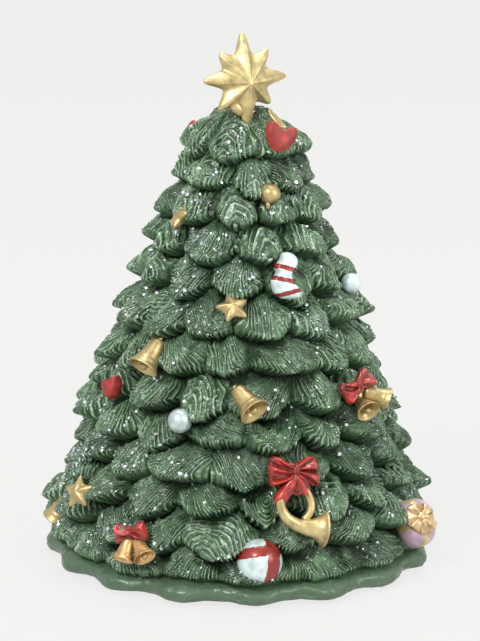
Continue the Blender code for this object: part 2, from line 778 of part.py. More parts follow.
def make_barrel():
    """The going barrel: a brass cup with a crown gear round its floor, its lid and its mainspring."""
    outer = CROWN_RADIUS + CROWN_FACE / 2 + 0.3 * MM
    top = BARREL_FLOOR + BARREL_HEIGHT
    floor = BARREL_FLOOR + BARREL_FLANGE
    bore = ARBOR_RADIUS + RUN
    barrel = turned("spring_barrel", [
        (BARREL_RADIUS - BARREL_WALL, floor), (BARREL_RADIUS - BARREL_WALL, top), (BARREL_RADIUS, top),
        (BARREL_RADIUS, floor), (outer, floor), (outer, BARREL_FLOOR), (bore, BARREL_FLOOR), (bore, floor),
        (BARREL_RADIUS - BARREL_WALL, floor),
    ], steps=24)
    slope = math.tan(PRESSURE_ANGLE)
    tooth_top, tooth_foot = 0.75 * DRIVE_MODULE, -(CROWN_PITCH_HEIGHT - floor) - 0.2 * MM
    thickness = math.pi * DRIVE_MODULE / 2 - 0.2 * MM

    def teeth(bm):
        for tooth in range(CROWN_TEETH):
            turn = Matrix.Rotation(TAU * (tooth + 0.5) / CROWN_TEETH, 4, "Z")
            corners = []
            for radius in (CROWN_RADIUS - CROWN_FACE / 2, CROWN_RADIUS + CROWN_FACE / 2):
                for height, side in ((tooth_foot, -1), (tooth_top, -1), (tooth_top, 1), (tooth_foot, 1)):
                    half = thickness / 2 - height * slope
                    corners.append(bm.verts.new(turn @ Vector((radius, side * half, height))))
            inner, outside = corners[:4], corners[4:]
            bm.faces.new(inner[::-1])
            bm.faces.new(outside)
            for i in range(4):
                j = (i + 1) % 4
                bm.faces.new((inner[i], inner[j], outside[j], outside[i]))

    crown = add_mesh("crown_teeth", teeth)
    crown.matrix_world = at(0, 0, CROWN_PITCH_HEIGHT)
    barrel = join(barrel, crown)
    barrel.matrix_world = at(ARBOR_X, DRUM_Y, 0)
    paint(barrel, "brass", BRASS)
    lid = plate("barrel_lid", [circle(BARREL_RADIUS, 24), circle(bore, 12)[::-1]], 0.9 * MM,
                at(ARBOR_X, DRUM_Y, top + SEAT + 0.45 * MM))
    paint(lid, "brass", BRASS)
    outer_turn = BARREL_RADIUS - BARREL_WALL - FIT - SPRING_THICKNESS
    inner_turn = ARBOR_RADIUS + 1.4 * MM
    steps = SPRING_TURNS * 10
    inside, outside = [], []
    for i in range(steps + 1):
        angle = TAU * SPRING_TURNS * i / steps
        radius = inner_turn + (outer_turn - inner_turn) * i / steps
        inside.append((radius * math.cos(angle), radius * math.sin(angle)))
        outside.append(((radius + SPRING_THICKNESS) * math.cos(angle), (radius + SPRING_THICKNESS) * math.sin(angle)))
    height = BARREL_HEIGHT - BARREL_FLANGE - 2 * SEAT
    spring = plate("mainspring", [inside + outside[::-1]], height,
                   at(ARBOR_X, DRUM_Y, floor + SEAT + height / 2))
    paint(spring, "steel", STEEL)


def make_winding():
    """The arbor with its ratchet wheel, the click that holds it, and the winding key below."""
    top = BARREL_FLOOR + BARREL_HEIGHT + SEAT + 0.9 * MM + SEAT
    place = at(ARBOR_X, DRUM_Y, 0)
    arbor = turned("winding_arbor", [
        (0, top + 2.4 * MM), (1.0 * MM, top + 2.4 * MM), (1.0 * MM, top), (ARBOR_RADIUS, top),
        (ARBOR_RADIUS, KEY_BOTTOM + KEY_WING_HEIGHT), (0, KEY_BOTTOM + KEY_WING_HEIGHT),
    ], place, steps=12)
    paint(turn_about(arbor, ARBOR_X, DRUM_Y), "steel", STEEL)
    rim = []
    for tooth in range(RATCHET_TEETH):
        start = TAU * tooth / RATCHET_TEETH
        rim.append(((RATCHET_RADIUS - RATCHET_DEPTH) * math.cos(start), (RATCHET_RADIUS - RATCHET_DEPTH) * math.sin(start)))
        rim.append((RATCHET_RADIUS * math.cos(start + 0.02), RATCHET_RADIUS * math.sin(start + 0.02)))
    ratchet = plate("ratchet_wheel", [rim, circle(ARBOR_RADIUS + FIT, 12)[::-1]], RATCHET_THICKNESS,
                    at(ARBOR_X, DRUM_Y, RATCHET_BOTTOM + RATCHET_THICKNESS / 2))
    paint(ratchet, "steel", STEEL)

    # the key: a hub with a socket for the arbor, and two wings with finger dimples
    hub_top = COVER_BOTTOM - 0.6 * MM
    socket_top = KEY_BOTTOM + KEY_WING_HEIGHT - SEAT
    hub = turned("winding_key", [
        (ARBOR_RADIUS + FIT, socket_top), (ARBOR_RADIUS + FIT, hub_top), (KEY_HUB_RADIUS - 0.6 * MM, hub_top),
        (KEY_HUB_RADIUS, hub_top - 0.8 * MM), (KEY_HUB_RADIUS, KEY_BOTTOM + 1.5 * MM),
        (KEY_HUB_RADIUS - 1 * MM, KEY_BOTTOM + 0.2 * MM), (0, KEY_BOTTOM + 0.2 * MM), (0, socket_top),
        (ARBOR_RADIUS + FIT, socket_top),
    ], place, steps=12)
    half = KEY_SPAN / 2
    tall = KEY_WING_HEIGHT
    wing = [(-half, 0.28 * tall), (-half, 0.72 * tall), (-0.82 * half, tall), (-0.5 * half, 0.92 * tall),
            (-0.3 * half, 0.75 * tall), (0.3 * half, 0.75 * tall), (0.5 * half, 0.92 * tall), (0.82 * half, tall),
            (half, 0.72 * tall), (half, 0.28 * tall), (0.82 * half, 0), (-0.82 * half, 0)]
    upright = Matrix.Rotation(math.pi / 2, 4, "X")
    wings = as_mesh(plate("wings", [wing[::-1]], KEY_THICKNESS, at(ARBOR_X, DRUM_Y, KEY_BOTTOM, upright), 0.4 * MM))
    socket = rod("socket", (ARBOR_X, DRUM_Y, socket_top), (ARBOR_X, DRUM_Y, hub_top + 2 * MM), ARBOR_RADIUS + FIT, 12)
    key = cut(join(hub, wings), socket)
    paint(turn_about(key, ARBOR_X, DRUM_Y), "brass", BRASS)

    # the click: a pawl on a rivet, with its nose just off the tips of the ratchet
    pivot = click_pivot()
    nose = RATCHET_RADIUS + 0.15 * MM
    reach = pivot.length - nose
    pawl = [(-1.3 * MM, -0.9 * MM), (0.4 * MM, -1.3 * MM), (reach - 0.4 * MM, -1.1 * MM), (reach, -0.2 * MM),
            (reach - 0.9 * MM, 0.2 * MM), (0.6 * MM, 1.3 * MM), (-0.8 * MM, 1.2 * MM)]
    facing = math.atan2(-pivot.y, -pivot.x)
    click = plate("click", [pawl, circle(0.7 * MM + FIT, 10)[::-1]], RATCHET_THICKNESS * 0.9,
                  at(ARBOR_X + pivot.x, DRUM_Y + pivot.y, RATCHET_BOTTOM + RATCHET_THICKNESS / 2,
                     Matrix.Rotation(facing, 4, "Z")))
    paint(click, "steel", STEEL)
    rivet = turned("click_rivet", [
        (0, RATCHET_THICKNESS + 0.15 * MM + SEAT + 0.45 * MM), (1.1 * MM, RATCHET_THICKNESS + 0.15 * MM + SEAT + 0.35 * MM),
        (1.1 * MM, RATCHET_THICKNESS + 0.15 * MM + SEAT), (0.7 * MM, RATCHET_THICKNESS + 0.15 * MM + SEAT),
        (0.7 * MM, FIT), (0, FIT),
    ], at(ARBOR_X + pivot.x, DRUM_Y + pivot.y, BED_TOP), steps=12)
    paint(rivet, "steel", STEEL)

    # the bridge: a bent strap over the barrel that holds the top of the arbor
    left, right = ARBOR_X - 14.0 * MM, ARBOR_X + 3.4 * MM
    strap_low = top + SEAT
    strap = [(left, BED_TOP + FIT), (left - 0.2 * MM, strap_low + 1.1 * MM), (right, strap_low + 1.1 * MM),
             (right, strap_low), (left + 0.9 * MM, strap_low), (left + 0.9 * MM, BED_TOP + FIT)]
    bridge = as_mesh(plate("barrel_bridge", [strap], 6.4 * MM, at(0, DRUM_Y, 0, upright)))
    hole = rod("hole", (ARBOR_X, DRUM_Y, strap_low - 1 * MM), (ARBOR_X, DRUM_Y, strap_low + 4 * MM), 1.0 * MM + RUN, 12)
    paint(cut(bridge, hole), "zinc", ZINC)


def click_pivot():
    """Centre of the click's rivet, from the arbor."""
    return Vector((-6.0 * MM, -13.0 * MM, 0))


def make_drum():
    """The pinned drum, its arbor, the pinion that the barrel drives and the gear that drives the governor."""
    def pins(bm):
        reach = DRUM_RADIUS + PIN_LENGTH
        for note in range(NOTES):
            x = DRUM_START + 0.3 * MM + (NOTE_PITCH - COMB_SLOT) / 2 + note * NOTE_PITCH
            for pin in range(PINS_PER_NOTE):
                angle = TAU * (pin + 0.5 + 0.42 * scatter(note, pin, 5)) / PINS_PER_NOTE
                turn = at(x, 0, 0, Matrix.Rotation(angle, 4, "X"))
                middle = Matrix.Translation((0, 0, reach - 0.65 * MM))
                bmesh.ops.create_cone(bm, cap_ends=True, segments=4, radius1=PIN_RADIUS, radius2=0.6 * PIN_RADIUS,
                                      depth=1.3 * MM, matrix=turn @ middle)

    place = at(0, DRUM_Y, DRUM_Z)
    bore = DRUM_ARBOR_RADIUS + FIT
    inside, web, end = DRUM_RADIUS - DRUM_WALL, DRUM_START + DRUM_WEB, DRUM_START + DRUM_LENGTH
    drum = turned("drum", [
        (inside, web), (inside, end), (DRUM_RADIUS, end), (DRUM_RADIUS, DRUM_START), (bore, DRUM_START),
        (bore, web), (inside, web),
    ], ALONG_X, steps=20)
    drum = join(drum, add_mesh("pins", pins))
    drum.matrix_world = place
    paint(drum, "brass", BRASS)
    face = CROWN_FACE - 0.3 * MM
    pinion_x = ARBOR_X + CROWN_RADIUS
    arbor_end = DRUM_GEAR_X + DRUM_GEAR_FACE + 2.2 * MM
    arbor = rod("drum_arbor", (pinion_x - face / 2, DRUM_Y, DRUM_Z), (arbor_end, DRUM_Y, DRUM_Z), DRUM_ARBOR_RADIUS, 12)
    paint(turn_about(arbor, 0, DRUM_Y, DRUM_Z), "steel", STEEL)
    pinion = plate("drum_pinion", [gear_outline(PINION_TEETH, DRIVE_MODULE, 0.2 * MM),
                                   circle(DRUM_ARBOR_RADIUS + FIT, 12)[::-1]],
                   face, at(pinion_x, DRUM_Y, DRUM_Z, ALONG_X))
    paint(pinion, "brass", BRASS)
    toward = -math.pi / 2
    gear = plate("drum_gear", [gear_outline(DRUM_GEAR_TEETH, TRAIN_MODULE, 0.14 * MM, toward, middle=False),
                               circle(DRUM_ARBOR_RADIUS + FIT, 12)[::-1]],
                 DRUM_GEAR_FACE, at(DRUM_GEAR_X + DRUM_GEAR_FACE / 2, DRUM_Y, DRUM_Z, ALONG_X))
    paint(gear, "brass", BRASS)
    bearing_x = DRUM_START - SEAT - 0.45 * MM
    outline = [(-2.6 * MM, BED_TOP + FIT), (2.6 * MM, BED_TOP + FIT), (2.6 * MM, DRUM_Z + 0.8 * MM),
               (1.3 * MM, DRUM_Z + 2.4 * MM), (-1.3 * MM, DRUM_Z + 2.4 * MM), (-2.6 * MM, DRUM_Z + 0.8 * MM)]
    upright_x = Matrix.Rotation(math.pi / 2, 4, "Z") @ Matrix.Rotation(math.pi / 2, 4, "X")
    bearing = plate("drum_bearing", [outline, circle(DRUM_ARBOR_RADIUS + RUN, 12, (0, DRUM_Z))[::-1]], 0.9 * MM,
                    at(bearing_x, DRUM_Y, 0, upright_x))
    paint(bearing, "zinc", ZINC)


def governor_places():
    """(y of the governor arbor, y of the worm shaft, x of the worm wheel, x of the inner plate)."""
    arbor_y = DRUM_Y - (DRUM_GEAR_TEETH + GOVERNOR_PINION_TEETH) * TRAIN_MODULE / 2
    worm_y = arbor_y - WORM_WHEEL_TEETH * WORM_MODULE / 2 - WORM_RADIUS
    plate_x = DRUM_GEAR_X + DRUM_GEAR_FACE + 0.6 * MM
    return arbor_y, worm_y, plate_x + GOVERNOR_PLATE + 1.9 * MM, plate_x


def make_governor():
    """The worm wheel on its arbor, the worm shaft with its fly, and the frame that carries them."""
    arbor_y, worm_y, wheel_x, plate_x = governor_places()
    far_x = plate_x + GOVERNOR_WIDTH - GOVERNOR_PLATE
    pinion_x = DRUM_GEAR_X + DRUM_GEAR_FACE / 2
    gap_half = TAU / GOVERNOR_PINION_TEETH / 2
    pinion_outline = gear_outline(GOVERNOR_PINION_TEETH, TRAIN_MODULE, 0.14 * MM, start=math.pi / 2 + gap_half)
    arbor = as_mesh(plate("governor_arbor", [pinion_outline], DRUM_GEAR_FACE, at(pinion_x, arbor_y, DRUM_Z, ALONG_X)))
    shaft = rod("shaft", (pinion_x, arbor_y, DRUM_Z), (far_x + GOVERNOR_PLATE - 0.2 * MM, arbor_y, DRUM_Z), 0.7 * MM, 12)
    arbor = join(arbor, shaft)
    paint(turn_about(arbor, wheel_x, arbor_y, DRUM_Z), "steel", STEEL)

    lead = WORM_STARTS * math.pi * WORM_MODULE
    wheel_pitch = WORM_WHEEL_TEETH * WORM_MODULE / 2
    helix = lead / (TAU * WORM_RADIUS)
    first = -math.pi / 2 + math.pi / WORM_WHEEL_TEETH
    outline = gear_outline(WORM_WHEEL_TEETH, WORM_MODULE, 0.22 * MM, first, middle=False)
    wheel = twisted_prism("governor_wheel", outline, WHEEL_FACE, helix * WHEEL_FACE / wheel_pitch, 1,
                          at(wheel_x, arbor_y, DRUM_Z, ALONG_X))
    wheel = cut(wheel, rod("bore", (wheel_x - 2 * MM, arbor_y, DRUM_Z), (wheel_x + 2 * MM, arbor_y, DRUM_Z), 0.7 * MM + FIT, 12))
    paint(turn_about(wheel, wheel_x, arbor_y, DRUM_Z), "brass", BRASS)

    layers = round(WORM_LENGTH / lead * 7)
    worm = twisted_prism("worm_shaft", worm_outline(), WORM_LENGTH, TAU * WORM_LENGTH / lead, layers,
                         at(wheel_x, worm_y, DRUM_Z, Matrix.Rotation(math.pi / 2, 4, "Z")))
    foot, fly_low = BED_TOP + 1.0 * MM, DRUM_Z + wheel_pitch + 1.6 * MM
    head = fly_low + FLY_HEIGHT + 1.4 * MM
    spindle = rod("spindle", (wheel_x, worm_y, foot), (wheel_x, worm_y, head), WORM_SHAFT_RADIUS, 8)
    worm = join(worm, spindle)
    paint(turn_about(worm, wheel_x, worm_y, DRUM_Z), "steel", STEEL)
    half, hub = FLY_SPAN / 2, WORM_SHAFT_RADIUS + 0.7 * MM
    blade = FLY_THICKNESS / 2
    fly_outline = [(half, -blade), (half, blade), (hub, blade), (0.6 * hub, 0.9 * hub), (-0.6 * hub, 0.9 * hub),
                   (-hub, blade), (-half, blade), (-half, -blade), (-hub, -blade), (-0.6 * hub, -0.9 * hub),
                   (0.6 * hub, -0.9 * hub), (hub, -blade)]
    fly = plate("fly_blades", [fly_outline, circle(WORM_SHAFT_RADIUS + FIT, 8)[::-1]], FLY_HEIGHT,
                at(wheel_x, worm_y, fly_low + FLY_HEIGHT / 2))
    paint(fly, "black_plastic", BLACK_PLASTIC)

    low_y, high_y, plate_top = worm_y - 2.2 * MM, DRUM_Y + 2.4 * MM, DRUM_Z + 2.2 * MM
    base_top, edge = BED_TOP + 1.5 * MM, 0.1 * MM
    back_y, end_x = arbor_y + 2.2 * MM, far_x + GOVERNOR_PLATE
    base = box("governor_frame", (plate_x - edge, low_y - edge, BED_TOP + FIT), (end_x + edge, back_y + edge, base_top))
    upright_x = Matrix.Rotation(math.pi / 2, 4, "Z") @ Matrix.Rotation(math.pi / 2, 4, "X")
    inner = [(arbor_y - 2.2 * MM, base_top - 1 * MM), (back_y, base_top - 1 * MM), (back_y, DRUM_Z - 3.4 * MM),
             (high_y, DRUM_Z - 1.6 * MM), (high_y, plate_top), (arbor_y - 2.2 * MM, plate_top)]
    outer = [(low_y, base_top - 1 * MM), (back_y, base_top - 1 * MM), (back_y, plate_top),
             (worm_y + 1.4 * MM, plate_top), (worm_y + 1.4 * MM, head + 0.4 * MM), (low_y, head + 0.4 * MM)]
    plates = [as_mesh(plate("plate", [outline], GOVERNOR_PLATE, at(x + GOVERNOR_PLATE / 2, 0, 0, upright_x)))
              for x, outline in ((plate_x, inner), (far_x, outer))]
    arm = box("arm", (wheel_x - 1.2 * MM, worm_y - 1.4 * MM, head - 0.7 * MM),
              (far_x + 0.5 * GOVERNOR_PLATE, worm_y + 1.2 * MM, head + 0.3 * MM))
    frame = join(base, *plates, arm)
    bores = [
        rod("bore", (plate_x - 1 * MM, DRUM_Y, DRUM_Z), (plate_x + 2 * MM, DRUM_Y, DRUM_Z), DRUM_ARBOR_RADIUS + RUN, 10),
        rod("bore", (plate_x - 1 * MM, arbor_y, DRUM_Z), (far_x + 2 * MM, arbor_y, DRUM_Z), 0.7 * MM + RUN, 8),
        rod("bore", (wheel_x, worm_y, BED_TOP + 0.5 * MM), (wheel_x, worm_y, head + 1 * MM), WORM_SHAFT_RADIUS + RUN, 8),
    ]
    paint(cut(frame, *bores), "zinc", ZINC)


# The ornaments

def tree_slope_radius(height):
    """Radius of the cone that the tips of the tufts touch, at a height."""
    heights = [TOP_HEIGHT, *(tier[0] for tier in TIERS)][::-1]
    radii = [TOP_RADIUS, *(tier[1] for tier in TIERS)][::-1]
    return float(np.interp(height, heights, radii))


def on_tree(azimuth, height, inset, lean=12, roll=0, swing=0):
    """Place of an ornament: local X to the right and local Y up as it faces out, local Z outwards.
    It stands inset behind the cone of the tips, leans back, is turned by roll and faces aside by swing."""
    azimuth = math.radians(azimuth)
    spot = on_azimuth(tree_slope_radius(height) - inset, azimuth, height)
    facing = Matrix(((1, 0, 0, 0), (0, 0, -1, 0), (0, 1, 0, 0), (0, 0, 0, 1)))
    return (
        Matrix.Translation(spot)
        @ Matrix.Rotation(azimuth, 4, "Z")
        @ facing
        @ Matrix.Rotation(math.radians(swing), 4, "Y")
        @ Matrix.Rotation(math.radians(-lean), 4, "X")
        @ Matrix.Rotation(math.radians(roll), 4, "Z")
    )


def seat(obj, outside, material, look):
    """Cuts away what would lie inside the foliage, so that the piece sits against it."""
    modifier = obj.modifiers.new("seat", "BOOLEAN")
    modifier.object = outside
    modifier.operation = "DIFFERENCE"
    obj = keep_largest_body(as_mesh(obj))
    return paint(obj, material, look)


def pillow(name, outline, middle, thickness, place):
    """A puffed flat piece: its outline, shrunk towards a middle point at the front and at the back."""
    levels = ((-0.42, 0.76), (0.0, 1.0), (0.42, 0.76))
    count = len(outline)

    def build(bm):
        rings = [
            [bm.verts.new((middle[0] + (x - middle[0]) * share, middle[1] + (y - middle[1]) * share, lift * thickness))
             for x, y in outline]
            for lift, share in levels
        ]
        for low, high in zip(rings, rings[1:]):
            for i in range(count):
                j = (i + 1) % count
                bm.faces.new((low[i], low[j], high[j], high[i]))
        for ring, lift in ((rings[0], -0.56), (rings[-1], 0.56)):
            peak = bm.verts.new((*middle, lift * thickness))
            for i in range(count):
                bm.faces.new((ring[i], ring[(i + 1) % count], peak))

    obj = add_mesh(name, build)
    obj.matrix_world = place
    return as_mesh(obj)


def heart(name, place, width, thickness):
    outline = []
    for i in range(14):
        t = TAU * i / 14
        x = math.sin(t) ** 3
        y = (13 * math.cos(t) - 5 * math.cos(2 * t) - 2 * math.cos(3 * t) - math.cos(4 * t)) / 16
        outline.append((x * width / 2, y * width / 2))
    return pillow(name, outline, (0, -0.06 * width), thickness, place)


def ridged_star(name, place, points, arm, notch, thickness, short_arm=None):
    """A star with a ridge down each arm, the same front and back."""
    ridge = thickness / 2

    def build(bm):
        bmesh.ops.create_cone(bm, cap_ends=False, segments=2 * points, radius1=arm, radius2=0, depth=ridge)
        bmesh.ops.remove_doubles(bm, verts=bm.verts, dist=1e-7)
        for vert in bm.verts:
            vert.co.z += ridge / 2
            if vert.co.z > ridge / 2:
                continue
            step = round((math.atan2(vert.co.y, vert.co.x) - math.pi / 2) * 2 * points / TAU)
            reach = notch if step % 2 else (short_arm if short_arm and step % 4 else arm)
            vert.co.xy = vert.co.xy.normalized() * reach

    star = add_mesh(name, build, smooth=False)
    mirror = star.modifiers.new("mirror", "MIRROR")
    mirror.use_axis = (False, False, True)
    mirror.merge_threshold = 1e-6
    star.matrix_world = place
    return as_mesh(star)


def bell(name, place, length, mouth):
    """A bell whose mouth points down local -Y, with a shallow mouth and the ball of its clapper."""
    profile = [
        (0, length), (0.3 * mouth, 0.92 * length), (0.44 * mouth, 0.62 * length), (0.6 * mouth, 0.25 * length),
        (mouth, 0), (0.84 * mouth, 0), (0.4 * mouth, 0.16 * length), (0.24 * mouth, -0.06 * length),
        (0, -0.1 * length),
    ]
    upright = Matrix.Rotation(-math.pi / 2, 4, "X")
    return turned(name, profile, place @ upright, steps=8)


def bow(name, place, span, tails=True):
    """A ribbon bow: two loops, a knot and two tails, as one puffed outline."""
    half = span / 2
    right = [
        (0.12 * half, 0.2 * half), (0.55 * half, 0.62 * half), (0.95 * half, 0.66 * half), (half, 0.1 * half),
        (0.9 * half, -0.42 * half), (0.5 * half, -0.36 * half), (0.2 * half, -0.2 * half),
    ]
    if tails:
        right += [(0.66 * half, -1.1 * half), (0.34 * half, -1.25 * half)]
    right += [(0.15 * half, -0.34 * half)]
    outline = right + [(-x, y) for x, y in reversed(right)]
    body = as_mesh(plate(name, [outline[::-1]], 0.4 * half, place, 0.07 * half))
    knot = ball("knot", place @ at(0, 0, 0.1 * half, Matrix.Diagonal((0.8, 1, 1.1, 1))), 0.28 * half, 8, 6)
    return join(body, knot)


def stocking(name, place, height):
    outline = [(-0.2, 0.5), (0.2, 0.5), (0.24, 0.3), (0.2, 0.22), (0.2, -0.1), (0.36, -0.22), (0.42, -0.38),
               (0.3, -0.5), (-0.12, -0.46), (-0.3, -0.36), (-0.3, -0.05), (-0.2, 0.22), (-0.24, 0.3)]
    scaled = [(x * height, y * height) for x, y in outline]
    return as_mesh(plate(name, [scaled[::-1]], 0.34 * height, place, 0.09 * height))


def horn(name, place, size):
    """A hunting horn: a tube that loops round once and widens into its bell. Points are shares of its width."""
    path = [(0.06, -0.01, 0.07), (0.13, 0.18, 0.07), (0.08, 0.4, 0.07), (-0.14, 0.52, 0.075), (-0.37, 0.44, 0.08),
            (-0.46, 0.26, 0.085), (-0.42, 0.06, 0.09), (-0.31, -0.1, 0.1), (-0.14, -0.22, 0.115),
            (0.04, -0.29, 0.14), (0.26, -0.32, 0.2), (0.42, -0.32, 0.27), (0.5, -0.32, 0.35)]
    curve = bpy.data.curves.new(name, "CURVE")
    curve.dimensions = "3D"
    curve.bevel_depth = size
    curve.bevel_resolution = 2
    curve.use_fill_caps = True
    spline = curve.splines.new("POLY")
    spline.points.add(len(path) - 1)
    for point, (x, y, radius) in zip(spline.points, path):
        point.co = (x * size, y * size, 0, 1)
        point.radius = radius
    obj = bpy.data.objects.new(name, curve)
    parts.objects.link(obj)
    obj.matrix_world = place
    return as_mesh(obj)


def make_star_topper(outside):
    place = star_place()
    upright = Matrix.Rotation(math.pi / 2, 4, "X")
    star = ridged_star("star_topper", place @ upright, 8, STAR_ARM, STAR_NOTCH, STAR_THICKNESS, STAR_SHORT_ARM)
    star = seat(star, outside, "gold_paint", GOLD)
    peg = rod("peg", (0, -STAR_PEG_Y, TOP_HEIGHT - STAR_PEG_DEPTH + SEAT),
              (0, -STAR_PEG_Y, place.translation.z - 2 * MM), STAR_PEG_RADIUS, 8)
    paint(join(star, peg), "gold_paint", GOLD)


def bells_with_bow(name, place, outside, size, bells):
    """Two bells under a red bow, each (x, y, roll) with the place of its mouth as shares of the size."""
    made = [
        bell(name, place @ at(x * size, y * size, 0.1 * size, Matrix.Rotation(math.radians(roll), 4, "Z")
                              @ Matrix.Rotation(math.radians(-PAIR_LEAN), 4, "X")), 0.6 * size, 0.3 * size)
        for x, y, roll in bells
    ]
    made = seat(join(*made), outside, "gold_paint", GOLD)
    ribbon = bow(name.replace("bells", "bow"), place @ at(-0.04 * size, 0.3 * size, 0.12 * size), size, tails=False)
    ribbon = seat(ribbon, outside, "red_paint", RED)
    paint(keep_largest_body(cut(ribbon, copy_grown(made, "bells_fit", SEAT))), "red_paint", RED)


def make_ornaments(outside):
    """Every ornament at its own azimuth and height, and the same kinds round the back."""
    golden, red, white = ("gold_paint", GOLD), ("red_paint", RED), ("white_paint", WHITE)

    def put_bauble(name, azimuth, height, radius, inset, look):
        seat(ball(name, on_tree(azimuth, height, inset), radius), outside, *look)

    def put_heart(name, azimuth, height, inset, lean, roll, width):
        place = on_tree(azimuth, height, inset, lean, roll)
        seat(heart(name, place, width, HEART_THICKNESS), outside, *red)

    def put_star(name, azimuth, height, inset, lean, roll, swing=0):
        place = on_tree(azimuth, height, inset, lean, roll, swing)
        seat(ridged_star(name, place, 5, SMALL_STAR_ARM, SMALL_STAR_NOTCH, SMALL_STAR_THICKNESS), outside, *golden)

    def put_bell(name, azimuth, height, inset, lean, roll):
        place = on_tree(azimuth, height, inset, lean, roll) @ at(0, -BELL_LENGTH / 2, 0)
        seat(bell(name, place, BELL_LENGTH, BELL_MOUTH), outside, *golden)

    def put_stocking(name, azimuth, height, inset, roll):
        seat(stocking(name, on_tree(azimuth, height, inset, 12, roll), STOCKING_HEIGHT), outside, *white)

    make_star_topper(outside)
    put_heart("heart_front", 33, TOP_HEIGHT - 5.2 * MM, -6.6 * MM, 26, -8, 10.8 * MM)
    put_heart("heart_left", -124, TOP_HEIGHT - 8.8 * MM, 0.2 * MM, 26, 8, 9.4 * MM)
    put_heart("heart_low_left", -58.5, 57.1 * MM, -1.2 * MM, 14, 24, 8.6 * MM)
    put_bauble("bauble_gold", 21, 115.7 * MM, 3.1 * MM, 0.2 * MM, golden)
    put_bauble("bauble_white", 76, 86.1 * MM, 3.0 * MM, -1.0 * MM, white)
    put_bauble("bauble_silver", -22.4, 52.5 * MM, 3.6 * MM, 0.4 * MM, white)
    put_star("star_upper_left", -46, 108.1 * MM, 0, 37, 8, -42)
    put_star("star_centre", -4.6, 84.3 * MM, 0, 46, 14, 10)
    put_star("star_low_left", -58.6, 26.1 * MM, 0, 20, 12, 10)
    put_stocking("stocking_front", 24.4, 92.7 * MM, -0.6 * MM, -6)
    put_bell("bell_left", -41, 69.5 * MM, 0.2 * MM, 34, -2)
    put_bell("bell_centre", 1.5, 59.5 * MM, -0.8 * MM, 38, 34)
    put_bell("bell_far_left", -84, 14.9 * MM, 3.6 * MM, 14, -10)
    bells_with_bow("bells_right", on_tree(49, 56.7 * MM, -1.2 * MM, 10, 8, -24), outside, 12.5 * MM,
                   [(0.12, -0.36, 2), (0.62, -0.24, 42)])
    bells_with_bow("bells_left", on_tree(-32.8, 16.9 * MM, -0.6 * MM, 10, 0, 14), outside, 11.5 * MM,
                   [(-0.18, -0.5, -4), (0.56, -0.36, 44)])
    horn_body = seat(horn("horn", on_tree(19.8, 27.3 * MM, -0.8 * MM, 10), HORN_WIDTH), outside, *golden)
    ribbon = seat(bow("horn_bow", on_tree(18.6, 38.1 * MM, -0.8 * MM, 14, -4), HORN_BOW_SPAN), outside, *red)
    paint(keep_largest_body(cut(ribbon, copy_grown(horn_body, "horn_fit", SEAT))), *red)
    put_bauble("bauble_striped", 6.3, 13.4 * MM, 6.7 * MM, 3.0 * MM, white)
    parcel_place = on_tree(68.5, 15.1 * MM, 1.4 * MM, 20, 0, -18)
    parcel = ball("parcel", parcel_place @ Matrix.Diagonal((1, 1.25, 0.9, 1)), PARCEL_RADIUS, 11, 7)
    parcel = seat(parcel, outside, "pink_paint", PINK)
    ribbon_place = parcel_place @ at(0, 0.2 * PARCEL_RADIUS, 0.76 * PARCEL_RADIUS, Matrix.Rotation(-0.24, 4, "X"))
    parcel_bow = seat(bow("parcel_bow", ribbon_place, 1.5 * PARCEL_RADIUS, tails=False), outside, *golden)
    paint(keep_largest_body(cut(parcel_bow, copy_grown(parcel, "parcel_fit", SEAT))), *golden)

    # round the back, the same kinds of ornament
    put_bell("bell_back", 168, 68.5 * MM, 0.4 * MM, 12, 16)
    put_bell("bell_back_low", 178, 19.5 * MM, 1.8 * MM, 14, -12)
    put_stocking("stocking_back", -160, 94.5 * MM, 0.2 * MM, 8)
    put_heart("heart_back", 128, 46.5 * MM, 0.8 * MM, 14, -10, 9.4 * MM)
    put_bauble("bauble_back", 178, 115.5 * MM, 3.3 * MM, 0.6 * MM, golden)


def main():
    _, outside = make_tree()
    make_underside()
    make_bedplate()
    make_comb()
    make_barrel()
    make_winding()
    make_drum()
    make_governor()
    make_ornaments(outside)


main()
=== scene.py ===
"""Looks of a christmas tree music box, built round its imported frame.

The tree is thirteen rings of painted tufts over a core with a scalloped foot. Its needles are cut into
the mesh. The ornaments are put on it one kind after another, and the underside and the movement keep
their solids and get their finishes. Shapes are worked out in millimetres and put in the scene in metres.
An azimuth of 0 is the front of the tree, at -Y, and grows towards +X.
"""

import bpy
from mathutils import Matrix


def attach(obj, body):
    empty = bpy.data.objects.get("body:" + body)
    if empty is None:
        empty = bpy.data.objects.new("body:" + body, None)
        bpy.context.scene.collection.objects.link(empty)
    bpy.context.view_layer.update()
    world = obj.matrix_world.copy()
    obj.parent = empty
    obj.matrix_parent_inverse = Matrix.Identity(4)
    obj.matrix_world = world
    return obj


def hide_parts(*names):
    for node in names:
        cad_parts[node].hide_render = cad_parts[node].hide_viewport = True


bl_info = {
    "name": "Christmas Tree Music Box",
    "version": (1, 0, 0),
    "blender": (4, 5, 0),
    "location": "3D View > Sidebar > Music Box",
    "description": "Foliage, ornaments and finishes of a christmas tree music box on its packed frame",
    "category": "Add Mesh",
}

import math

import bmesh
import bpy
import numpy as np
from bpy.props import FloatProperty, FloatVectorProperty, IntProperty, PointerProperty
from mathutils import Matrix, Vector

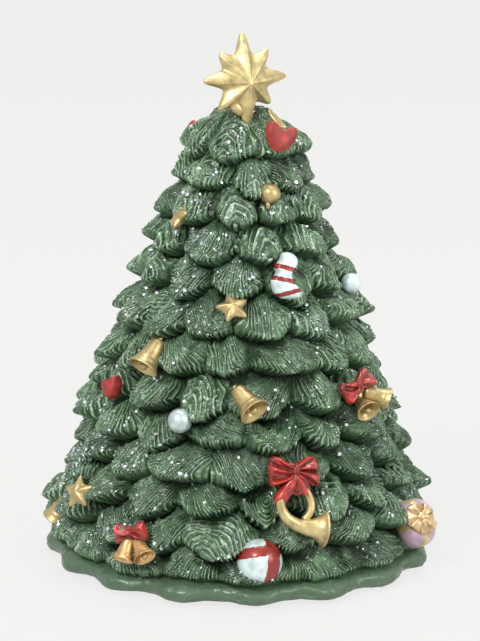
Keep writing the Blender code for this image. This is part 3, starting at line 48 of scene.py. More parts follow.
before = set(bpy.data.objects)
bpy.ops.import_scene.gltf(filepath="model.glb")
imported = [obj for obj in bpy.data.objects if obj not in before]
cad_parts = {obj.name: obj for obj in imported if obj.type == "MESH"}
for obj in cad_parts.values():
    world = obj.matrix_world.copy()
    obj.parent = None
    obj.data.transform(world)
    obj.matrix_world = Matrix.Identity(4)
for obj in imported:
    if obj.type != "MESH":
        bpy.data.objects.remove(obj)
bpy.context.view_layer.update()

MM = 0.001
TAU = 2 * math.pi

# The tree, as in the solids, in millimetres: height and radius of the tips of each tier
TIERS = [
    (126.5, 19.4), (117.0, 21.6), (107.5, 25.6), (98.0, 28.8), (87.5, 32.0), (76.5, 37.2), (65.5, 42.2),
    (55.0, 44.6), (45.5, 48.2), (36.0, 51.0), (26.5, 54.0), (17.2, 57.2), (8.2, 58.2),
]
# and how its tufts stand: their number, and the azimuth of one of them in degrees
TUFT_TURNS = [
    (7, -13), (8, 8), (9, -10), (10, 14), (12, -3), (13, 13), (14, -4), (15, 9), (16, -11), (16, 1),
    (17, 9), (17, -4), (17, 6),
]
RIBS, RIB_HEIGHT = 3, 0.45
SLENDER_RADIUS = 33.0
VALLEY_DEPTH, VALLEY_RISE = 6.8, 1.8
TUFT_CROWN = 1.5
LIP_HEIGHT, LIP_BACK = 2.0, 0.9
UNDERCUT, UNDER_DROP, FOOT_SHARE = 8.0, 4.6, 0.35
TIP_SPREAD, DROOP_SPREAD, EDGE_SPREAD = 2.0, 2.0, 0.2
GAP_FILL, TIP_HOOK = 2.8, 2.0
TOP_RADIUS, TOP_HEIGHT = 7.4, TIERS[0][0] + 10.9
BASE_RADIUS = TIERS[-1][1] + 1.0
SKIRT_HEIGHT, RIM_HEIGHT = 5.4, 1.1
BASE_LOBES, BASE_LOBE_DEPTH, BASE_LOBE_RISE, BASE_LOBE_AZIMUTH = 16, 2.6, 0.6, 5.0
RECESS_RADIUS, SHELF_HEIGHT, CAVITY_RADIUS, CAVITY_TOP, CAVITY_CHAMFER = 41.0, 17.0, 36.0, 43.0, 5.0

# The star on the top and the small stars: the reach of each arm and of the notches
STAR_TIP_HEIGHT, STAR_ARM, STAR_THICKNESS = TOP_HEIGHT + 24.7, 13.9, 9.4
STAR_ARMS, STAR_NOTCH = (14.4, 11.2, 14.3, 13.2, 16.6, 11.5, 14.4, 11.9), 6.5
STAR_YAW, STAR_LEAN, STAR_FORWARD = 25, 10, 7.2
SMALL_STAR_ARMS, SMALL_STAR_NOTCH, SMALL_STAR_THICKNESS = (5.1,) * 5, 2.6, 4.4

# The other ornaments
BALL_RADIUS, PARCEL_RADIUS = 6.7, 5.8
BELL_LENGTH, BELL_MOUTH = 9.6, 4.6
HORN_LENGTH = HORN_BOW_SPAN = 15.0
HEART_THICKNESS, STOCKING_THICKNESS, LOOP_THICKNESS, TAIL_THICKNESS = 4.0, 4.6, 4.2, 3.0

GLITTER_SEED = 18

# The camera and what the lamps light, in metres, with the lens in millimetres and the roll in degrees
CAMERA_HEIGHT, CAMERA_AIM = 0.0825, (-0.0005, 0, 0.0721)
CAMERA_LENS, CAMERA_ROLL = 185.9, 0.65
LAMP_AIM = (0, 0, 0.07)


# Settings

def length(name, description, default):
    return FloatProperty(name=name, description=description, default=default * MM, min=0,
                         subtype="DISTANCE", unit="LENGTH", precision=5)


def colour(name, description, default):
    return FloatVectorProperty(name=name, description=description, default=default, size=3, min=0, max=1,
                               subtype="COLOR")


class FoliageSettings(bpy.types.PropertyGroup):
    """Sizes and colours of the painted tufts"""

    spacing: length("Point Spacing", "Distance between the points round a tier", 0.3)
    pitch: length("Needle Pitch", "Distance between two needles at the lip of a tuft", 0.95)
    depth: length("Needle Depth", "Depth of the cuts between the needles", 0.95)
    lumps: length("Lumps", "Height of the soft lumps under the needles", 1.3)
    # The wash colour is also painted shade, which the finish puts in the cuts, under the tufts and between
    # them. The ridge colour is the painted highlight along the crests of the needles.
    dark: colour("Wash and Painted Shade", "Dark green left in the cuts", (0.03, 0.06, 0.028))
    middle: colour("Green", "Green of the tufts", (0.095, 0.2, 0.088))
    light: colour("Ridges", "Light green brushed over the ridges", (0.36, 0.5, 0.34))
    frost: colour("Frost", "Silver dust on the tufts", (0.42, 0.47, 0.46))
    rim: colour("Rim", "Green of the smooth foot rim", (0.075, 0.13, 0.075))


class GlitterSettings(bpy.types.PropertyGroup):
    """Numbers and sizes of the glitter flakes"""

    flakes: IntProperty(name="Flakes", description="Large flakes on the whole tree", default=1000, min=0)
    dust: IntProperty(name="Dust", description="Small flakes on the whole tree", default=9000, min=0)
    flake_size: length("Flake Size", "Radius of a large flake", 0.55)
    dust_size: length("Dust Size", "Radius of a small flake", 0.17)


class PaintSettings(bpy.types.PropertyGroup):
    """Colours of the painted ornaments"""

    pale_gold: colour("Pale Gold", "Paint of the star on the top", (0.56, 0.45, 0.215))
    gold: colour("Gold", "Paint of the bells, stars and horn", (0.47, 0.36, 0.165))
    copper_gold: colour("Copper Gold", "Paint of the pair of bells at the left", (0.6, 0.39, 0.17))
    peach_gold: colour("Peach Gold", "Paint of the ribbon of the parcel", (0.6, 0.43, 0.24))
    red: colour("Red", "Paint of the hearts, bows and stripes", (0.26, 0.02, 0.013))
    pearl: colour("Pearl", "Pearl white of the ball, the baubles and the stockings", (0.62, 0.74, 0.73))
    silver: colour("Silver", "Silver of one bauble", (0.46, 0.55, 0.53))
    pink: colour("Pink", "Lilac paint of the parcel", (0.5, 0.34, 0.43))


class StageSettings(bpy.types.PropertyGroup):
    """Camera and light"""

    distance: FloatProperty(name="Distance", description="From the camera to the middle of the tree",
                            default=1.0, min=0.3, subtype="DISTANCE", unit="LENGTH")
    elevation: FloatProperty(name="Elevation", description="Angle of the camera above the floor",
                             default=math.radians(13.5), subtype="ANGLE", unit="ROTATION")
    sky: FloatProperty(name="Sky", description="Strength of the even light all round", default=0.7, min=0)
    backdrop: colour("Backdrop", "Colour of the floor and the background as the camera sees them",
                     (0.88, 0.88, 0.864))


# Grids of points

def closed_line(points, count):
    """A smooth closed line through the given points: a Catmull-Rom curve, taken at count even steps."""
    return spline(np.asarray(points, float), np.arange(count) * len(points) / count, True)


def smooth_line(points, count):
    """A smooth open line through the given points: a Catmull-Rom curve, taken at count even steps."""
    return spline(np.asarray(points, float), np.linspace(0, len(points) - 1, count), False)


def spline(points, places, closed):
    """Catmull-Rom: between points 1 and 2, half of (2 p1 + (p2 - p0) t + (2 p0 - 5 p1 + 4 p2 - p3) t^2
    + (3 p1 - p0 - 3 p2 + p3) t^3)."""
    last = len(points) - 1
    start = np.floor(places).astype(int) if closed else np.minimum(np.floor(places).astype(int), last - 1)
    t = (places - start).reshape(-1, *[1] * (points.ndim - 1))
    pick = (lambda i: points[i % (last + 1)]) if closed else (lambda i: points[np.clip(i, 0, last)])
    p0, p1, p2, p3 = (pick(start + step) for step in (-1, 0, 1, 2))
    return 0.5 * (2 * p1 + (p2 - p0) * t + (2 * p0 - 5 * p1 + 4 * p2 - p3) * t ** 2
                  + (3 * p1 - p0 - 3 * p2 + p3) * t ** 3)


def grid_faces(rows, columns, closed):
    """Four-sided faces of a grid of points that goes round along its columns. A closed one also joins its
    last row to its first."""
    row, column = np.meshgrid(np.arange(rows if closed else rows - 1), np.arange(columns), indexing="ij")
    below, right = (row + 1) % rows, (column + 1) % columns
    corners = (row * columns + column, below * columns + column,
               below * columns + right, row * columns + right)
    return np.stack(corners, -1).reshape(-1, 4)


def unit(vectors):
    """The vectors, each divided by its length."""
    return vectors / np.maximum(np.linalg.norm(vectors, axis=-1, keepdims=True), 1e-9)


def grid_normals(points):
    """Unit normals of a grid that goes round along its columns: the cross product of its two slopes."""
    along = np.roll(points, -1, axis=1) - np.roll(points, 1, axis=1)
    return unit(np.cross(np.gradient(points, axis=0), along))


def blurred(line, passes):
    """A closed line in which each point is drawn to its neighbours, (p0 + 2 p1 + p2) / 4, in each pass."""
    for _ in range(passes):
        line = (np.roll(line, 1, axis=0) + 2 * line + np.roll(line, -1, axis=0)) / 4
    return line


def outward(azimuth):
    """Directions out of the axis of the tree: (sin, -cos) of the azimuth."""
    return np.stack([np.sin(azimuth), -np.cos(azimuth)], -1)


def round_tree(profile, azimuth):
    """Points of rows of (radius, height), each at its azimuth."""
    return np.concatenate([profile[..., :1] * outward(azimuth), profile[..., 1:]], -1)


def moved(points, place):
    """Points carried by a matrix."""
    return points @ np.array(place.to_3x3()).T + np.array(place.translation)


def hashed(i, j, kind=0.0):
    """A fixed number from 0 to 1 for each pair of whole numbers."""
    value = np.sin(i * 12.9898 + j * 78.233 + kind * 37.719) * 43758.5453
    return value - np.floor(value)


def noise(x, y, kind=0.0):
    """Smooth noise from 0 to 1: fixed numbers at whole x and y, blended by 3 t^2 - 2 t^3 between them."""
    i, j = np.floor(x), np.floor(y)
    u, v = x - i, y - j
    u, v = u * u * (3 - 2 * u), v * v * (3 - 2 * v)
    near = hashed(i, j, kind) * (1 - u) + hashed(i + 1, j, kind) * u
    far = hashed(i, j + 1, kind) * (1 - u) + hashed(i + 1, j + 1, kind) * u
    return near * (1 - v) + far * v


def smooth_step(low, high, value):
    """0 below low, 1 above high and 3 t^2 - 2 t^3 between them."""
    t = np.clip((value - low) / (high - low), 0, 1)
    return t * t * (3 - 2 * t)


# Pieces

def new_object(name, data, place=None):
    """A new object in the scene, at its place in metres where one is given."""
    thing = bpy.data.objects.new(name, data)
    if place is not None:
        thing.matrix_world = place
    bpy.context.scene.collection.objects.link(thing)
    return thing


def keep_values(mesh, name, values):
    """Keeps a value at each point of the mesh, for its finish."""
    mesh.attributes.new(name, "FLOAT", "POINT").data.foreach_set("value", values.astype(np.float32))


def make_piece(name, patches, material, replaces=(), closed=False):
    """One mesh from patches, each (points in millimetres, values at them). Their columns go round, and a
    closed one's rows too. Poles and seams are merged, and the faces turned outwards."""
    corners, faces, start = [], [], 0
    values = {key: [] for _, given in patches for key in given}
    for points, given in patches:
        rows, columns = points.shape[:2]
        corners.append(points.reshape(-1, 3) * MM)
        faces.append(grid_faces(rows, columns, closed) + start)
        for key, parts in values.items():
            parts.append(np.broadcast_to(given.get(key, 0.0), (rows, columns)).ravel())
        start += rows * columns
    corners, faces = np.concatenate(corners), np.concatenate(faces)
    mesh = bpy.data.meshes.new(name)
    mesh.vertices.add(len(corners))
    mesh.vertices.foreach_set("co", corners.astype(np.float32).ravel())
    mesh.loops.add(faces.size)
    mesh.loops.foreach_set("vertex_index", faces.astype(np.int32).ravel())
    mesh.polygons.add(len(faces))
    mesh.polygons.foreach_set("loop_start", np.arange(0, faces.size, 4, dtype=np.int32))
    mesh.update(calc_edges=True)
    for key, parts in values.items():
        keep_values(mesh, key, np.concatenate(parts))
    shape = bmesh.new()
    shape.from_mesh(mesh)
    bmesh.ops.remove_doubles(shape, verts=shape.verts, dist=1e-7)
    bmesh.ops.recalc_face_normals(shape, faces=shape.faces)
    shape.to_mesh(mesh)
    shape.free()
    mesh.shade_smooth()
    mesh.materials.append(material)
    piece = new_object(name, mesh)
    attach(piece, "tree")
    if replaces:
        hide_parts(*replaces)


def turned(profile, steps):
    """A patch turned about local Z. The profile is rows of (radius, height), from one end to the other."""
    angle = TAU * np.arange(steps) / steps
    radius, height = np.asarray(profile, float).T[:, :, None]
    return np.stack([radius * np.cos(angle), radius * np.sin(angle), height + 0 * angle], -1), {}


def ball(radius, squash=(1, 1, 1), rows=24, columns=36):
    """A round patch: radius times (sin a cos b, sin a sin b, cos a), squashed along each axis."""
    a = np.linspace(0, math.pi, rows)[:, None]
    b = TAU * np.arange(columns) / columns
    points = np.stack([np.sin(a) * np.cos(b), np.sin(a) * np.sin(b), np.cos(a) + 0 * b], -1)
    return points * radius * np.array(squash), {}


def tube(path, widths, depths=None, sides=20, normal=(0, 0, 1)):
    """A patch along a path that lies square to its normal. Its sections are ellipses, widths across in the
    plane of the path and depths along the normal, and it is closed to a point at both ends."""
    path = np.asarray(path, float)
    widths = np.broadcast_to(widths, len(path))
    depths = widths if depths is None else np.broadcast_to(depths, len(path))
    normal = np.array(normal, float)
    across = unit(np.cross(np.gradient(path, axis=0), normal))
    angle = TAU * np.arange(sides) / sides
    points = (path[:, None] + across[:, None] * (widths[:, None] * np.cos(angle))[..., None]
              + normal * (depths[:, None] * np.sin(angle))[..., None])
    ends = np.repeat(path[[0, -1], None], sides, axis=1)
    return np.concatenate([ends[:1], points, ends[1:]]), {}


def puffed(outline, centre, thickness, flat=0.5, rows=22, lift=None):
    """A patch like a cushion: the outline drawn in to its centre at the front and the back. The share of the
    outline is sin(a)^flat and the height is cos(a) times half the thickness, with rows that lie closer
    together towards the outline. lift adds to the height of the front."""
    outline = np.asarray(outline, float)
    centre = np.asarray(centre, float)
    half = np.arcsin((1 - (1 - np.linspace(0, 1, rows // 2)) ** 1.8) ** (1 / flat))
    a = np.concatenate([half, math.pi - half[-2::-1]])[:, None]
    share = np.maximum(np.sin(a), 0) ** flat
    flat_points = centre + (outline - centre) * share[..., None]
    height = np.cos(a) * thickness / 2 + 0 * outline[:, 0]
    if lift is not None:
        height = height + lift(flat_points[..., 0], flat_points[..., 1], share) * (a < math.pi / 2)
    return np.concatenate([flat_points, height[..., None]], -1), {}


def at(x, y, z, facing=Matrix()):
    """Matrix of a place, with the turns made there."""
    return Matrix.Translation((x, y, z)) @ facing


def turn(degrees, axis):
    """Matrix of a turn about an axis."""
    return Matrix.Rotation(math.radians(degrees), 4, axis)


def placed(patch, place):
    """The patch carried to its place."""
    return moved(patch[0], place), patch[1]


def scaled(patches, factor):
    """The patches made larger by one factor, or by one for each axis."""
    return [(points * factor, values) for points, values in patches]


def on_tree(azimuth, height, inset, lean=12, roll=0, swing=0):
    """Place of an ornament: local X to the right, Y up and Z outwards as it faces out of the tree. It stands
    inset behind the cone of the tips, leans back, is turned by roll and faces aside by swing."""
    heights = [TOP_HEIGHT, *(tier[0] for tier in TIERS)][::-1]
    radii = [TOP_RADIUS, *(tier[1] for tier in TIERS)][::-1]
    radius = float(np.interp(height, heights, radii)) - inset
    spot = (radius * math.sin(math.radians(azimuth)), -radius * math.cos(math.radians(azimuth)), height)
    return (at(*spot) @ turn(azimuth, "Z") @ turn(90, "X") @ turn(swing, "Y")
            @ turn(-lean, "X") @ turn(roll, "Z"))


# Finishes

class Signal:
    """A socket of a finish. Sums, products and powers of signals add the Math nodes that work them out."""

    def __init__(self, finish, socket):
        self.finish, self.socket = finish, socket

    def math(self, operation, first, second=0.0):
        return self.finish.add("ShaderNodeMath", {"operation": operation}, {0: first, 1: second})

    def __add__(self, other):
        return self.math("ADD", self, other)

    def __sub__(self, other):
        return self.math("SUBTRACT", self, other)

    def __rsub__(self, other):
        return self.math("SUBTRACT", other, self)

    def __mul__(self, other):
        return self.math("MULTIPLY", self, other)

    def __pow__(self, other):
        return self.math("POWER", self, other)

    def __abs__(self):
        return self.math("ABSOLUTE", self)

    __radd__, __rmul__ = __add__, __mul__

    def step(self, low, high):
        """0 below low, 1 above high and smooth between them."""
        return self.finish.add("ShaderNodeMapRange", {"interpolation_type": "SMOOTHSTEP"},
                               {0: self, 1: low, 2: high, 3: 0.0, 4: 1.0})


class Finish:
    """A material being mixed: its Principled shader and the nodes that feed it."""

    def __init__(self, name, **values):
        self.material = bpy.data.materials.new(name)
        self.material.use_nodes = True
        self.nodes, self.links = self.material.node_tree.nodes, self.material.node_tree.links
        self.shader = self.nodes["Principled BSDF"]
        self.set(**values)

    def feed(self, socket, value):
        if isinstance(value, Signal):
            self.links.new(value.socket, socket)
        elif socket.type == "RGBA":
            socket.default_value = (*tuple(value)[:3], 1)
        else:
            socket.default_value = value

    def set(self, **values):
        """Feeds the shader's sockets, such as base_color or roughness."""
        for name, value in values.items():
            self.feed(self.shader.inputs[name.replace("_", " ").title()], value)
        return self

    def add(self, kind, settings=None, inputs=None, output=0):
        """A node of that type with its settings and then its inputs, as the signal of one output."""
        node = self.nodes.new(kind)
        for name, value in (settings or {}).items():
            if name == "stops":
                ramp = node.color_ramp
                while len(ramp.elements) < len(value):
                    ramp.elements.new(1)
                for element, (place, shade) in zip(ramp.elements, value):
                    element.position, element.color = place, (*tuple(shade)[:3], 1)
            else:
                setattr(node, name, value)
        for key, value in (inputs or {}).items():
            self.feed(node.inputs[key], value)
        return Signal(self, node.outputs[output])

    def place(self):
        return self.add("ShaderNodeTexCoord", output="Object")

    def value(self, name):
        """A value kept at the points of the mesh."""
        return self.add("ShaderNodeAttribute", {"attribute_name": name}, output="Fac")

    def clouds(self, size, detail=2.0, stretch=(1, 1, 1), shift=(0, 0, 0)):
        """Cloudy noise whose patches measure about size millimetres."""
        where = self.add("ShaderNodeMapping", {},
                         {"Vector": self.place(), "Scale": stretch, "Location": shift})
        return self.add("ShaderNodeTexNoise", {},
                        {"Vector": where, "Scale": 1 / (size * MM), "Detail": detail})

    def grains(self, size):
        """0 at the middle of grains of about size millimetres, growing outwards."""
        return self.add("ShaderNodeTexVoronoi", {}, {"Vector": self.place(), "Scale": 1 / (size * MM)})

    def mix(self, share, first, second):
        """First where share is 0, second where it is 1."""
        return self.add("ShaderNodeMix", {"data_type": "RGBA"}, {0: share, 6: first, 7: second}, output=2)

    def ramp(self, share, *stops):
        return self.add("ShaderNodeValToRGB", {"stops": stops}, {0: share})

    def shades(self, share, shade, low, high, middle=0.5):
        """A ramp from a darker to a lighter kind of the shade. low and high are each (place, factor)."""
        (first, darker), (last, lighter) = low, high
        return self.ramp(share, (first, times(shade, darker)), (middle, shade), (last, times(shade, lighter)))

    def bump(self, height, distance, strength=1.0):
        """Small relief: height 1 stands distance millimetres proud."""
        relief = self.add("ShaderNodeBump", {},
                          {"Height": height, "Distance": distance * MM, "Strength": strength})
        return self.set(normal=relief)


def times(shade, factor):
    """A lighter or darker shade."""
    return tuple(min(1.0, channel * factor) for channel in shade)


def foliage_finish(name, settings, smooth=0.0):
    """Green metallic paint with painted light and shade: painted highlights along the crests of the needles,
    a dark wash with painted shade in the cuts between them, painted shade between the tufts and under them,
    and silver dust in patches. The mesh numbers the needles, and a crest lies where the number is whole.
    smooth from 0 to 1 takes the finish towards the plain paint of the rim."""
    finish = Finish(name, metallic=0.15)
    opening, relief = finish.value("open"), finish.value("relief")
    # blotches darken the paint in patches of about 4.5 mm, at random places.
    mottle, blotches = finish.clouds(1.8, 4), finish.clouds(4.5, 3, shift=(2, 7, 4)).step(0.38, 0.52)
    number = finish.value("needle") * math.pi
    wave = abs(number.math("SINE", number))
    # crest and finer paint highlights along the needles, and groove paints shade into the cuts between them.
    crest, groove = (1 - wave) ** 4 * relief, wave ** 4 * relief
    finer = (1 - abs(number.math("SINE", number * 2.0 + mottle * 5.0))) ** 2 * relief
    tone = mottle * 0.66 + crest * 1.1 + finer * 0.34 - groove * 0.42
    # Painted shade: the tone darkens where the open value is low, under the tier above, under the lips and
    # between the tufts.
    tone = tone * (0.25 + 0.75 * opening) * (0.55 + 0.45 * blotches)
    paint = finish.ramp(tone, (0.0, settings.dark), (0.26, times(settings.middle, 0.5)),
                        (0.48, settings.middle), (0.95, settings.light))
    if smooth:
        plain = finish.mix(mottle, times(settings.rim, 0.75), times(settings.rim, 1.25))
        paint = finish.mix(smooth, paint, plain)
    patch = finish.clouds(12, 2).step(0.38, 0.6)
    speck = 1 - finish.grains(0.6).step(0.22, 0.4)
    worn = finish.clouds(1.4, 1, shift=(3, 1, 2)).step(0.38, 0.56)
    frost = patch * speck * opening * worn * (0.85 * (1 - smooth))
    finish.set(base_color=finish.mix(frost, paint, settings.frost), coat_weight=opening * 0.35,
               roughness=0.66 - 0.26 * opening - 0.12 * crest - 0.06 * frost)
    height = crest * 0.5 - groove * 0.7 + finer * 0.3 + finish.clouds(0.7, 3) * (0.25 + 0.5 * smooth)
    return finish.bump(height, 0.28).material


def glitter_finish():
    """Silver flakes, some of them bluish or rosy."""
    finish = Finish("glitter_flakes", metallic=0.55)
    tint = finish.value("tint")
    shade = finish.ramp(tint, (0.0, (0.3, 0.34, 0.34)), (0.3, (0.6, 0.64, 0.64)), (0.7, (0.82, 0.85, 0.84)),
                        (0.82, (0.46, 0.7, 0.82)), (0.9, (0.8, 0.78, 0.83)), (1.0, (0.82, 0.7, 0.78)))
    finish.set(base_color=shade, roughness=0.18 + 0.2 * finish.clouds(0.8))
    return finish.material


def gold_finish(name, shade):
    """Brushed gold paint: cloudy, worn lighter in places, with a brownish wash left in others."""
    finish = Finish(name, metallic=0.72, coat_weight=0.1)
    wear, wash = finish.clouds(2.6, 3), finish.clouds(4.4, 2, shift=(5, 3, 1))
    paint = finish.shades(wear * 0.8 + wash * 0.3, shade, (0.3, 0.6), (0.78, 1.45), 0.52)
    finish.set(base_color=paint, roughness=0.3 + 0.22 * wash)
    return finish.bump(finish.clouds(0.9, 3), 0.07).material


def gloss_finish(name, shade, metallic=0.08, roughness=0.3, pale=1.5, folds=0.0, coat=0.5, relief=0.05):
    """Glossy hand paint with thin and thick places, with painted shade in the hollows of the folds that the
    mesh gives and painted highlights on their ridges.
    """
    finish = Finish(name, metallic=metallic, coat_weight=coat)
    clouds = finish.clouds(2.2, 3)
    # Painted shade and highlight: the fold value darkens the hollows of the folds and lightens their ridges.
    tone = clouds + finish.value("fold") * folds if folds else clouds
    paint = finish.shades(tone, shade, (0.25, 0.45 if folds else 0.7), (0.78, pale))
    finish.set(base_color=paint, roughness=roughness + 0.15 * finish.clouds(1.1))
    return finish.bump(finish.clouds(1.0, 2), relief).material


def banded_finish(name, ground, band):
    """Two paints side by side with a brushed edge. The mesh says how far a point is inside the band."""
    finish = Finish(name, metallic=0.15, coat_weight=0.35)
    inside = (finish.value("band") + (finish.clouds(0.9, 2) - 0.5) * 0.5).step(-0.06, 0.06)
    clouds = finish.clouds(2.4, 3)
    low = finish.shades(clouds, ground, (0.3, 0.72), (0.8, 1.25), 0.55)
    high = finish.shades(clouds, band, (0.3, 0.7), (0.8, 1.6), 0.55)
    finish.set(base_color=finish.mix(inside, low, high), roughness=0.27 + 0.15 * clouds)
    return finish.bump(finish.clouds(1.0, 2) + inside * 0.5, 0.08).material


def plain_finish(name, shade, metallic, roughness, size=1.5, relief=0.02, stretch=(1, 1, 1)):
    """Metal, plastic or felt: clouds of its own colour with fine relief."""
    finish = Finish(name, metallic=metallic)
    clouds = finish.clouds(size, 3, stretch)
    finish.set(base_color=finish.mix(clouds, times(shade, 0.72), times(shade, 1.25)),
               roughness=roughness - 0.1 + 0.2 * clouds)
    return finish.bump(clouds, relief).material


# Tree shapes

def tuft_edge(tier, tuft):
    """Where the gap before a tuft lies, in tufts from the first one."""
    return tuft + EDGE_SPREAD * (2 * hashed(tier, tuft % TUFT_TURNS[tier][0], 3) - 1)


def across_tuft(tier, azimuth):
    """(number of the tuft, place across it from -0.5 to 0.5, its width in tufts) at each azimuth."""
    count, first = TUFT_TURNS[tier]
    turns = (azimuth - math.radians(first)) * count / TAU + 0.5
    tuft = np.floor(turns)
    tuft = tuft + (turns >= tuft_edge(tier, tuft + 1)) - (turns < tuft_edge(tier, tuft))
    low, high = tuft_edge(tier, tuft), tuft_edge(tier, tuft + 1)
    return tuft % count, (turns - low) / (high - low) - 0.5, high - low


def fullness(tier):
    """How deep the gaps and undersides of a tier are, as a share of the full depth."""
    return FOOT_SHARE if tier == len(TIERS) - 1 else min(1.0, TIERS[tier][1] / SLENDER_RADIUS)


def lip_line(tier, azimuth):
    """(radius, height, swell) of the outermost line of a tier. The swell of a tuft is cos(pi across)^1.1, and
    the line runs back and up where it is small."""
    height, radius = TIERS[tier]
    tuft, across, _ = across_tuft(tier, azimuth)
    swell = np.maximum(0, np.cos(math.pi * across)) ** 1.1
    radius = (radius + TIP_SPREAD * (2 * hashed(tier, tuft, 1) - 1) * swell
              - VALLEY_DEPTH * fullness(tier) * (1 - swell))
    height = (height + DROOP_SPREAD * fullness(tier) * (2 * hashed(tier, tuft, 2) - 1) * swell
              + VALLEY_RISE * fullness(tier) * (1 - swell))
    return radius, height, swell


def corner_line(tier, azimuth):
    """(radius, height) where the underside of a tier ends and the next one comes out."""
    radius, height, swell = lip_line(tier, azimuth)
    share = (0.35 + 0.65 * swell) * fullness(tier)
    return radius - UNDERCUT * share, height - UNDER_DROP * share


def needle_numbers(across, along, width, length, tuft, tier, pitch):
    """Numbers the needles of each tuft, by 1 from one to the next, with x across and s down the tuft. Most
    are fans, (x - x0 (1 - a)) / (0.32 + 0.68 a) / pitch at the share a of the length, so they spread from a
    point above the root. One tuft in five has arches instead, sqrt(x^2 + q^2 (s - c)^2) / pitch, with their
    centre c past the tip, or above it, where they close to loops."""
    def pick(kind):
        return hashed(tier, tuft, kind)

    s, x = along * length, across * width
    fan = (x - 1.1 * (pick(4) - 0.5) * width * (1 - along)) / (0.32 + 0.68 * along ** 0.8)
    fan = fan + (pick(5) - 0.5) * 0.05 * s ** 2
    centre = np.where(pick(8) > 0.94, 0.62 + 0.2 * pick(7), 1.1 + 0.7 * pick(7)) * length
    squash = np.where(pick(8) > 0.94, 0.9, 0.35 + 0.4 * pick(6))
    arch = np.hypot(x - 0.24 * (pick(4) - 0.5) * width, squash * (s - centre))
    meander = 0.8 * noise(x / 3.4 + 40 * tuft, s / 7.0 + 9 * tier, 3)
    meander = meander + 0.35 * noise(x / 1.1 + 11 * tuft, s / 3.4 + tier, 4)
    return np.where(pick(8) > 0.8, arch, fan) / pitch + meander


def needle_cuts(number, along, tuft):
    """(height of the needles from 0 to 1, how unbroken they are), with along in millimetres. Between two
    crests the height falls by 0.3 w^4 + 0.7 w^0.8, where w = |sin(pi number)|, and noise breaks the needles
    off here and there."""
    nearest = np.round(number)
    breaks = noise(nearest * 7.31 + 17 * tuft, along / 3.4 + nearest * 3.7, 9)
    unbroken = 0.15 + 0.85 * smooth_step(0.25, 0.6, breaks)
    wave = np.abs(np.sin(math.pi * number))
    return 1 - (0.3 * wave ** 4 + 0.7 * wave ** 0.8) * unbroken, unbroken


# Steps round the foot rim, and rows of its skirt
RIM_STEPS, SKIRT_ROWS = 640, 34
# Knots down a tier from its root to the end of its crown, and the rows between its last ten knots
CROWN_KNOTS, ROWS_BETWEEN = 3, [3, 12, 13, 12, 9, 6, 4, 2, 1]


def tier_profile(tier, azimuth, across, swell):
    """(rows of (radius, height) at each azimuth, where each row lies among the knots, the knot of the root,
    the length of the crown). A smooth line runs through the knots, from inside the tier above to the root,
    over the crown to the lip, under it to the corner and back inside."""
    lip = np.stack(lip_line(tier, azimuth)[:2])
    end = lip + [[-LIP_BACK], [LIP_HEIGHT]]
    corner = np.stack(corner_line(tier, azimuth))
    one = np.ones_like(azimuth)
    if tier:
        root = np.stack(corner_line(tier - 1, azimuth))
        start = [root + [[-3.2], [-1.5]], root + [[-1.4], [0.7]]]
        finish = [corner + [[-1.8], [-1.4]], corner + [[-4.5], [0.5]]]
    else:
        root = np.stack([(TOP_RADIUS + 1) * one, (TOP_HEIGHT - 2) * one])
        start = [np.stack([radius * one, (TOP_HEIGHT - drop) * one])
                 for radius, drop in ((0, 0), (3.4, 0.1), (TOP_RADIUS, 0.7))]
        finish = [corner + [[-1.8], [-1.4]], np.stack([0 * one, (corner[1].min() - 1.5) * one])]

    def crown(share):
        out = TUFT_CROWN * math.sin(math.pi * share) * swell * (1 if tier else 0.1)
        out = out + RIB_HEIGHT * np.cos(TAU * RIBS * across) * min(1, 2 * share)
        return root + (end - root) * share + 0.7 * out

    under = 0.45 * lip + 0.55 * corner + [[0.25], [-0.35]]
    knots = [*start, root, crown(0.33), crown(0.66), crown(1), lip, under, corner, *finish]
    rows_between = ([3] if tier else [6, 7]) + ROWS_BETWEEN
    places = np.concatenate([[0]] + [i + np.arange(1, n + 1) / n for i, n in enumerate(rows_between)])
    profile = spline(np.array(knots).transpose(0, 2, 1), places, False)
    return profile, places, len(start), float(np.hypot(*(end - root)).mean())


